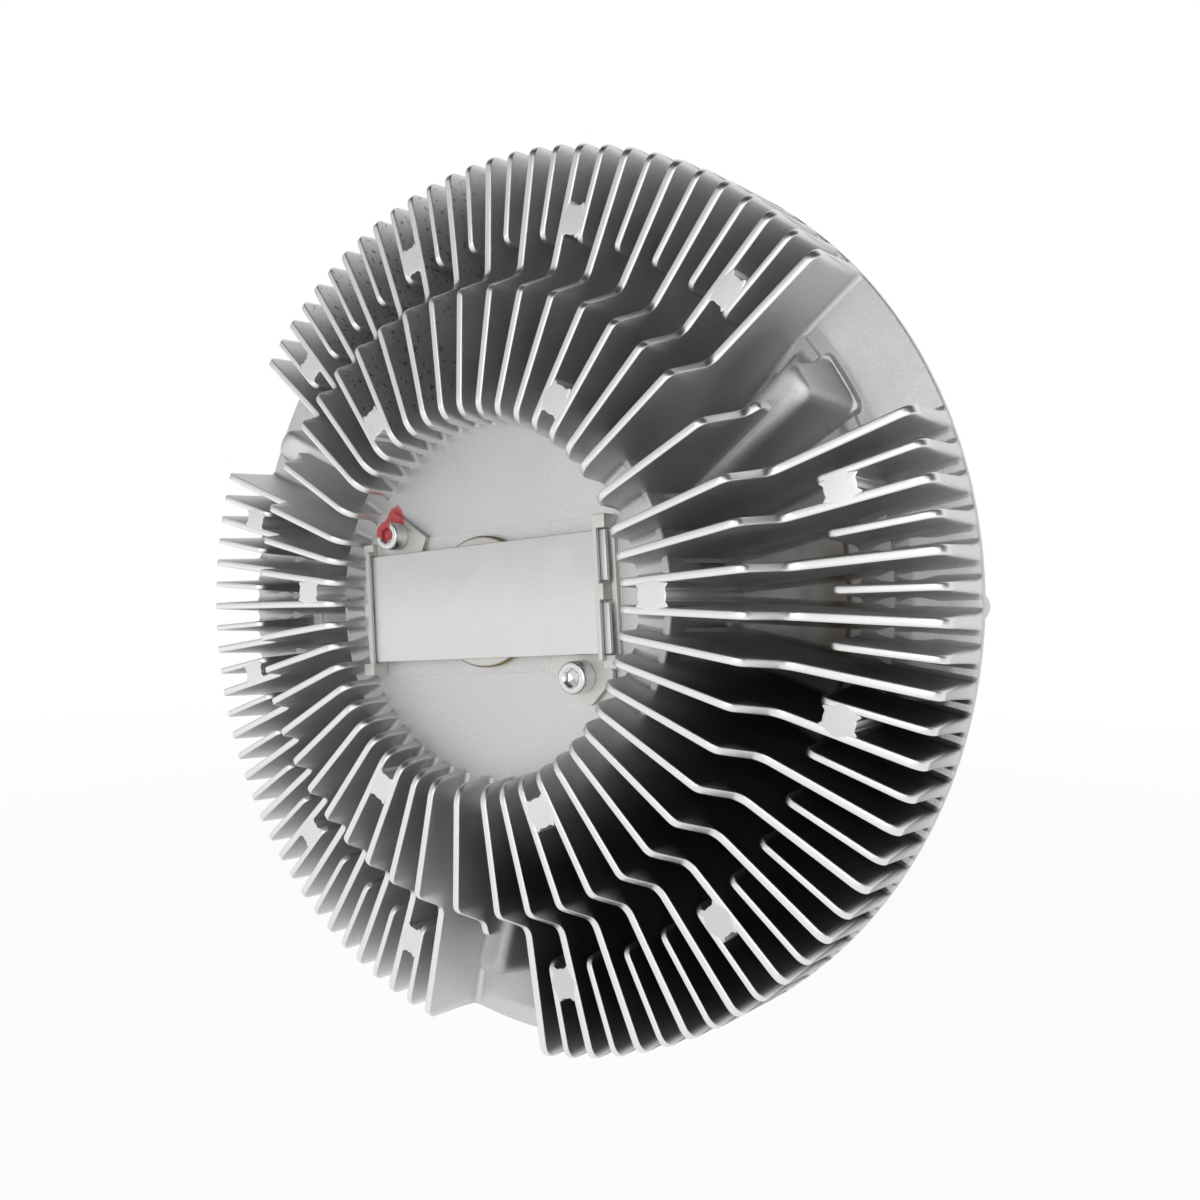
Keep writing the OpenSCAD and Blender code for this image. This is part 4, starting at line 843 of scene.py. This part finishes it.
def cast_aluminium(name, marks_to=None, paint=False):
    """The finish of both castings. The cover and its fins also have dust, a painted shade, stain and pits,
    out to the radius marks_to in mm, and the cover has paint."""
    material, tree, shader, where = begin(name, {"Metallic": 1.0})
    cloud = add(tree, "TexNoise", {"Vector": where, "Scale": per_mm(16), "Detail": 4.0})
    grit = add(tree, "TexNoise", {"Vector": where, "Scale": per_mm(0.7), "Detail": 2.0})
    skin = add(tree, "Mix", {0: cloud, 6: linear("#C6C7C8"), 7: linear("#DEDEDD")}, **COLOUR_MIX)
    speck = add(tree, "MapRange", {
        "Value": grit, "From Min": 0.3, "From Max": 0.7, "To Min": 0.0, "To Max": 0.35
    })
    colour = add(tree, "Mix", {0: speck, 6: skin, 7: linear("#ECECEB")}, **COLOUR_MIX)
    if marks_to:
        axis = add(tree, "SeparateXYZ", {"Vector": where}).node.outputs
        angle = add(tree, "Math", {0: axis["Z"], 1: axis["X"]}, operation="ARCTAN2")
        radius = from_axis(tree, where)
        pits = add(tree, "TexNoise", {"Vector": where, "Scale": per_mm(1.6), "Detail": 1.0})
        pit = add(tree, "MapRange", {"Value": pits, "From Min": 0.62, "From Max": 0.68})
        low = add(tree, "MapRange", {"Value": axis["Y"], "From Min": LOW_Y[0], "From Max": LOW_Y[1]})
        outer = ((marks_to - 2) * MM, marks_to * MM)
        turns = (PAINTED_SHADE_ANGLES, STAIN_ANGLES, PIT_ANGLES)
        painted_shade, stain, pitted = (between(tree, angle, *rise_fall) for rise_fall in turns)
        marks = [
            ("#9A968E", 0.8, (low, cloud, between(tree, radius, DUST_RADII, outer))),
            # painted shade: dark grey over the lower right's slots and fins
            ("#3A3A3B", 0.85, (painted_shade, between(tree, radius, PAINTED_SHADE_RADII, outer))),
            ("#6E5337", 1.0, (stain, low, between(tree, radius, *STAIN_RADII))),
            ("#55565A", 0.6, (pitted, pit, between(tree, radius, PIT_RADII, outer))),
        ]
        for tint, strength, masks in marks:
            share = add(tree, "Math", {0: masks[0], 1: strength}, operation="MULTIPLY")
            for mask in masks[1:]:
                share = add(tree, "Math", {0: share, 1: mask}, operation="MULTIPLY")
            colour = add(tree, "Mix", {0: share, 6: colour, 7: linear(tint)}, **COLOUR_MIX)
    # polish from handling and a painted highlight: fins' edges and column tops paler and smoother
    wear_and_highlight = add(tree, "Attribute", {}, out="Fac", attribute_name="wear_and_highlight")
    rubbed_and_highlit = add(tree, "MapRange", {"Value": wear_and_highlight, "From Min": 0.1, "From Max": 0.75})
    bright = add(tree, "Mix", {0: rubbed_and_highlit, 6: colour, 7: linear("#EBEBEA")}, **COLOUR_MIX)
    rough = add(tree, "MapRange", {
        "Value": cloud, "From Min": 0.3, "From Max": 0.7, "To Min": 0.48, "To Max": 0.6
    })
    smooth = add(tree, "Mix", {0: rubbed_and_highlit, 2: rough, 3: 0.36})
    bump = add(tree, "Bump", {"Height": grit, "Strength": 0.25, "Distance": 0.0001})
    looks = {"Base Color": bright, "Roughness": smooth, "Normal": bump}
    dress(tree, shader, {**looks, **painted(tree, looks, where)} if paint else looks)
    return material


give(cast_aluminium("shot blasted die-cast aluminium of the cover", 120.5, True), cover)
give(cast_aluminium("shot blasted die-cast aluminium of the fins", 125.5), fins)
give(cast_aluminium("shot blasted die-cast aluminium of the housing"), rear)

# %% [markdown]
# Rolled sheet: the strip is a satin bimetal with a faint grain along its length, and the brackets are
# pressed from plated steel. A grain is noise that is stretched by a Mapping node along the rolling
# direction.

# %% Rolled sheet metals
GRAIN_LENGTH = 30.0


def made_metal(tree, where, marks, colours, rough, cloud_mm, cloud_share, strength, depth):
    """Looks of a metal from the marks of its making with a cloud mixed in: the mix leads from the dark to
    the pale colour and from the lower to the higher roughness. The marks are depth metres deep."""
    cloud = add(tree, "TexNoise", {"Vector": where, "Scale": per_mm(cloud_mm), "Detail": 3.0})
    both = add(tree, "Mix", {0: cloud_share, 2: marks, 3: cloud})
    dark, pale = map(linear, colours)
    colour = add(tree, "Mix", {0: both, 6: dark, 7: pale}, **COLOUR_MIX)
    soft = add(tree, "MapRange", {
        "Value": both, "From Min": 0.3, "From Max": 0.7, "To Min": rough[0], "To Max": rough[1]
    })
    bump = add(tree, "Bump", {"Height": marks, "Strength": strength, "Distance": depth})
    return {"Base Color": colour, "Roughness": soft, "Normal": bump}


def rolled_sheet(name, dark, pale, rough, grain_mm, marked):
    """Sheet metal with grain along the strip: noise in cells of grain_mm, thirty times as long as wide."""
    material, tree, shader, where = begin(name, {"Metallic": 1.0})
    along = add(tree, "Mapping", {
        "Vector": where, "Rotation": (0, -math.radians(STRIP_ANGLE), 0), "Scale": (GRAIN_LENGTH, 1.0, 1.0)
    }, vector_type="TEXTURE")
    grain = add(tree, "TexNoise", {"Vector": along, "Scale": per_mm(grain_mm), "Detail": 2.0})
    looks = made_metal(tree, where, grain, (dark, pale), (rough - 0.05, rough + 0.06),
                       cloud_mm=9, cloud_share=0.6, strength=0.12, depth=0.05 * MM)
    dress(tree, shader, {**looks, **painted(tree, looks, where)} if marked else looks)
    return material


give(rolled_sheet("satin rolled bimetal", "#D0D2D2", "#E8E8E7", 0.42, 0.25, False), *strip_halves)
bracket_finish = rolled_sheet("pressed zinc plated steel", "#C6C6C3", "#E8E7E3", 0.55, 0.4, True)
give(bracket_finish, *brackets)

# %% [markdown]
# The other metals are turned, forged, ground or plated, and the seals are rubber. They differ in colour,
# in roughness and in the size of the marks that their process leaves, so one function makes them all
# from those numbers.

# %% Turned, forged and plated metals, rubber and plastic


def worked(name, dark, pale, rough, mark_mm, depth_mm, metallic=1.0):
    """A finish from two colours, a roughness, and the size and depth of its marks."""
    material, tree, shader, where = begin(name, {"Metallic": metallic})
    marks = add(tree, "TexNoise", {"Vector": where, "Scale": per_mm(mark_mm), "Detail": 3.0})
    looks = made_metal(tree, where, marks, (dark, pale), (rough - 0.06, rough + 0.06),
                       cloud_mm=7, cloud_share=0.5, strength=0.3, depth=depth_mm * MM)
    dress(tree, shader, looks)
    return material


marked_zinc = rolled_sheet("zinc plated steel with a paint mark", "#C8C9CA", "#E8E8E7", 0.24, 0.5, True)
give(marked_zinc, screws)
BARE_FROM, BARE_TO = 0.0178, 0.01805


def tinned_brass():
    """The bush's finish: pale tin, and brown brass where the flange's edge has lost it, by the radius."""
    material = worked("tinned brass", "#C4C2BB", "#DCDAD4", 0.45, 0.4, 0.03)
    tree = material.node_tree
    shader = tree.nodes["Principled BSDF"]
    radius = from_axis(tree, add(tree, "TexCoord", {}, "Object"))
    bare = add(tree, "MapRange", {"Value": radius, "From Min": BARE_FROM, "From Max": BARE_TO})
    tin = shader.inputs["Base Color"].links[0].from_socket
    colour = add(tree, "Mix", {0: bare, 6: tin, 7: linear("#8C7848")}, **COLOUR_MIX)
    dress(tree, shader, {"Base Color": colour})
    return material


give(tinned_brass(), bush)
finishes = [
    (("zinc plated steel", "#B5B7B9", "#D8D9DA", 0.33, 0.5, 0.04), [rim_screws], ["plate_screw_set"]),
    (("forged steel, oiled", "#5C5D5F", "#8A8B8C", 0.42, 1.6, 0.12), [shaft], ["rotor_nut"]),
    (("turned aluminium", "#B9BABB", "#D9D9D9", 0.34, 0.4, 0.03), [], ["rotor"]),
    (("ground bearing steel", "#A9ABAD", "#CFD0D1", 0.22, 0.3, 0.01), [],
     ["bearing_inner_ring", "bearing_outer_ring", "bearing_balls", "control_pin"]),
    (("pressed cage brass", "#9C8148", "#C2A767", 0.4, 0.6, 0.03), [], ["bearing_cage"]),
    (("blackened spring steel", "#2E2F31", "#4A4B4D", 0.4, 0.5, 0.02), [circlip], ["valve_lever"]),
    (("plated sheet steel", "#B3B6B8", "#D2D4D5", 0.36, 0.5, 0.03), [],
     ["reservoir_plate", "lever_rivets"]),
    (("moulded nitrile rubber", "#1B1B1C", "#2C2C2D", 0.62, 0.4, 0.03, 0.0), [],
     ["bearing_seals", "housing_o_ring", "pin_o_ring"]),
    (("moulded glass-filled nylon", "#C9C2AC", "#DDD7C4", 0.55, 0.6, 0.03, 0.0), [], ["pump_scrapers"]),
]
for settings, pieces, cad_names in finishes:
    give(worked(*settings), *pieces, *(nodes[cad_name] for cad_name in cad_names))

# %% [markdown]
# The studio: a pale floor, a large soft key light from the upper left, as the bright left flanks of the
# fins ask for, a smaller light in front and a dim fill from the right. The background is white to the
# camera, and metal sees that white where it lies, behind the part; the rest of the room is dim, which
# leaves the right flanks of the fins as dark as the photograph shows them.

# %% Floor and background
FLOOR_Z, FLOOR_HALF, NEAR, FAR = -0.1255, 30.0, 0.25, 0.9
ROOM, BEHIND, BEHIND_FROM, BEHIND_TO = 0.02, 1.0, -0.1, 0.35


def floor_finish():
    """Matt white that glows to the camera and in metal, fully beyond FAR metres and by a part near the
    object, so its soft shadow stays and the floor runs into the background without a line."""
    matt = {"Base Color": linear("#F4F4F4"), "Roughness": 0.9}
    material, tree, shader, where = begin("pale studio floor", matt)
    path = add(tree, "LightPath", {}).node.outputs
    seen = add(tree, "Math", {0: path["Is Camera Ray"], 1: path["Is Glossy Ray"]}, operation="ADD")
    seen = add(tree, "Math", {0: seen, 1: path["Is Transmission Ray"]}, operation="ADD")
    away = add(tree, "VectorMath", {0: where}, out="Value", operation="LENGTH")
    share = add(tree, "MapRange", {
        "Value": away, "From Min": NEAR, "From Max": FAR, "To Min": 0.96, "To Max": 1.0
    })
    share = add(tree, "Math", {0: share, 1: seen}, operation="MULTIPLY", use_clamp=True)
    glow = add(tree, "Emission", {"Color": (1, 1, 1, 1), "Strength": 1.0})
    mixed = add(tree, "MixShader", {0: share, 1: shader.outputs[0], 2: glow})
    tree.links.new(mixed, tree.nodes["Material Output"].inputs["Surface"])
    return material


corner = np.array([(-1, -1), (1, -1), (1, 1), (-1, 1)]) * FLOOR_HALF
floor_mesh = bpy.data.meshes.new("floor")
floor_mesh.from_pydata([(x, y, FLOOR_Z) for x, y in corner.tolist()], [], [(0, 1, 2, 3)])
floor = new_object("floor", floor_mesh)
give(floor_finish(), floor)

world = bpy.data.worlds.new("studio")
bpy.context.scene.world = world
world.use_nodes = True
tree = world.node_tree
path = add(tree, "LightPath", {}).node.outputs
seen_from = add(tree, "TexCoord", {}, "Generated")
direction = add(tree, "SeparateXYZ", {"Vector": seen_from}, "Y")
behind = add(tree, "MapRange", {
    "Value": direction, "From Min": BEHIND_FROM, "From Max": BEHIND_TO,
    "To Min": ROOM, "To Max": BEHIND
}, interpolation_type="SMOOTHSTEP")
mirrored = add(tree, "Math", {0: path["Is Glossy Ray"], 1: path["Is Transmission Ray"]}, operation="ADD")
mirrored = add(tree, "Math", {0: mirrored, 1: behind}, operation="MULTIPLY")
glow = add(tree, "Math", {0: mirrored, 1: path["Is Camera Ray"]}, operation="MAXIMUM")
sky = tree.nodes["Background"]
sky.inputs["Color"].default_value = (1, 1, 1, 1)
tree.links.new(glow, sky.inputs["Strength"])

# %% Lights
AIM = (0, -0.08, 0)


def soft_box(name, at, size, power):
    """A square area light at a point, turned so that it shines at AIM."""
    lamp = bpy.data.lights.new(name, "AREA")
    lamp.size, lamp.energy = size, power
    holder = new_object(name, lamp)
    holder.location = at
    holder.rotation_euler = (Vector(at) - Vector(AIM)).to_track_quat("Z", "Y").to_euler()
    print(name, "at", at, "power", power)


soft_box("key", (-1.15, -0.95, 0.3), 1.8, 7.0)
soft_box("front", (0.1, -1.35, 0.25), 0.8, 4.0)
soft_box("right fill", (0.75, -1.0, 0.15), 0.5, 1.5)

# %% [markdown]
# The camera stands where the photograph's stood: 37 degrees to the right of the axis, almost level, quite
# close and rolled by less than half a degree. The part lies left of the picture's middle as seen from
# there, which is a shift of the lens, not a turn.

# %% Camera
PICTURE, SENSOR = 1200, 36.0
AZIMUTH, ELEVATION, ROLL = (math.radians(angle) for angle in (36.991, 0.572, 0.403))
DISTANCE, FOCAL, SHIFT = 0.302983, 1030.75 / PICTURE, (68.95 / PICTURE, 1.22 / PICTURE)
TARGET = Vector((0, -RIM_Z * MM, 0))
back = Vector((
    math.sin(AZIMUTH) * math.cos(ELEVATION), -math.cos(AZIMUTH) * math.cos(ELEVATION), math.sin(ELEVATION)
))
lens = bpy.data.cameras.new("camera")
lens.sensor_width = SENSOR
lens.lens = FOCAL * SENSOR
lens.shift_x, lens.shift_y = SHIFT
lens.clip_start = 0.01
camera = new_object("camera", lens)
camera.location = TARGET + back * DISTANCE
camera.rotation_euler = (back.to_track_quat("Z", "Y") @ Quaternion((0, 0, 1), ROLL)).to_euler()
bpy.context.scene.camera = camera
bpy.context.scene.view_settings.view_transform = "Standard"
print("camera at", [round(c, 4) for c in camera.location])
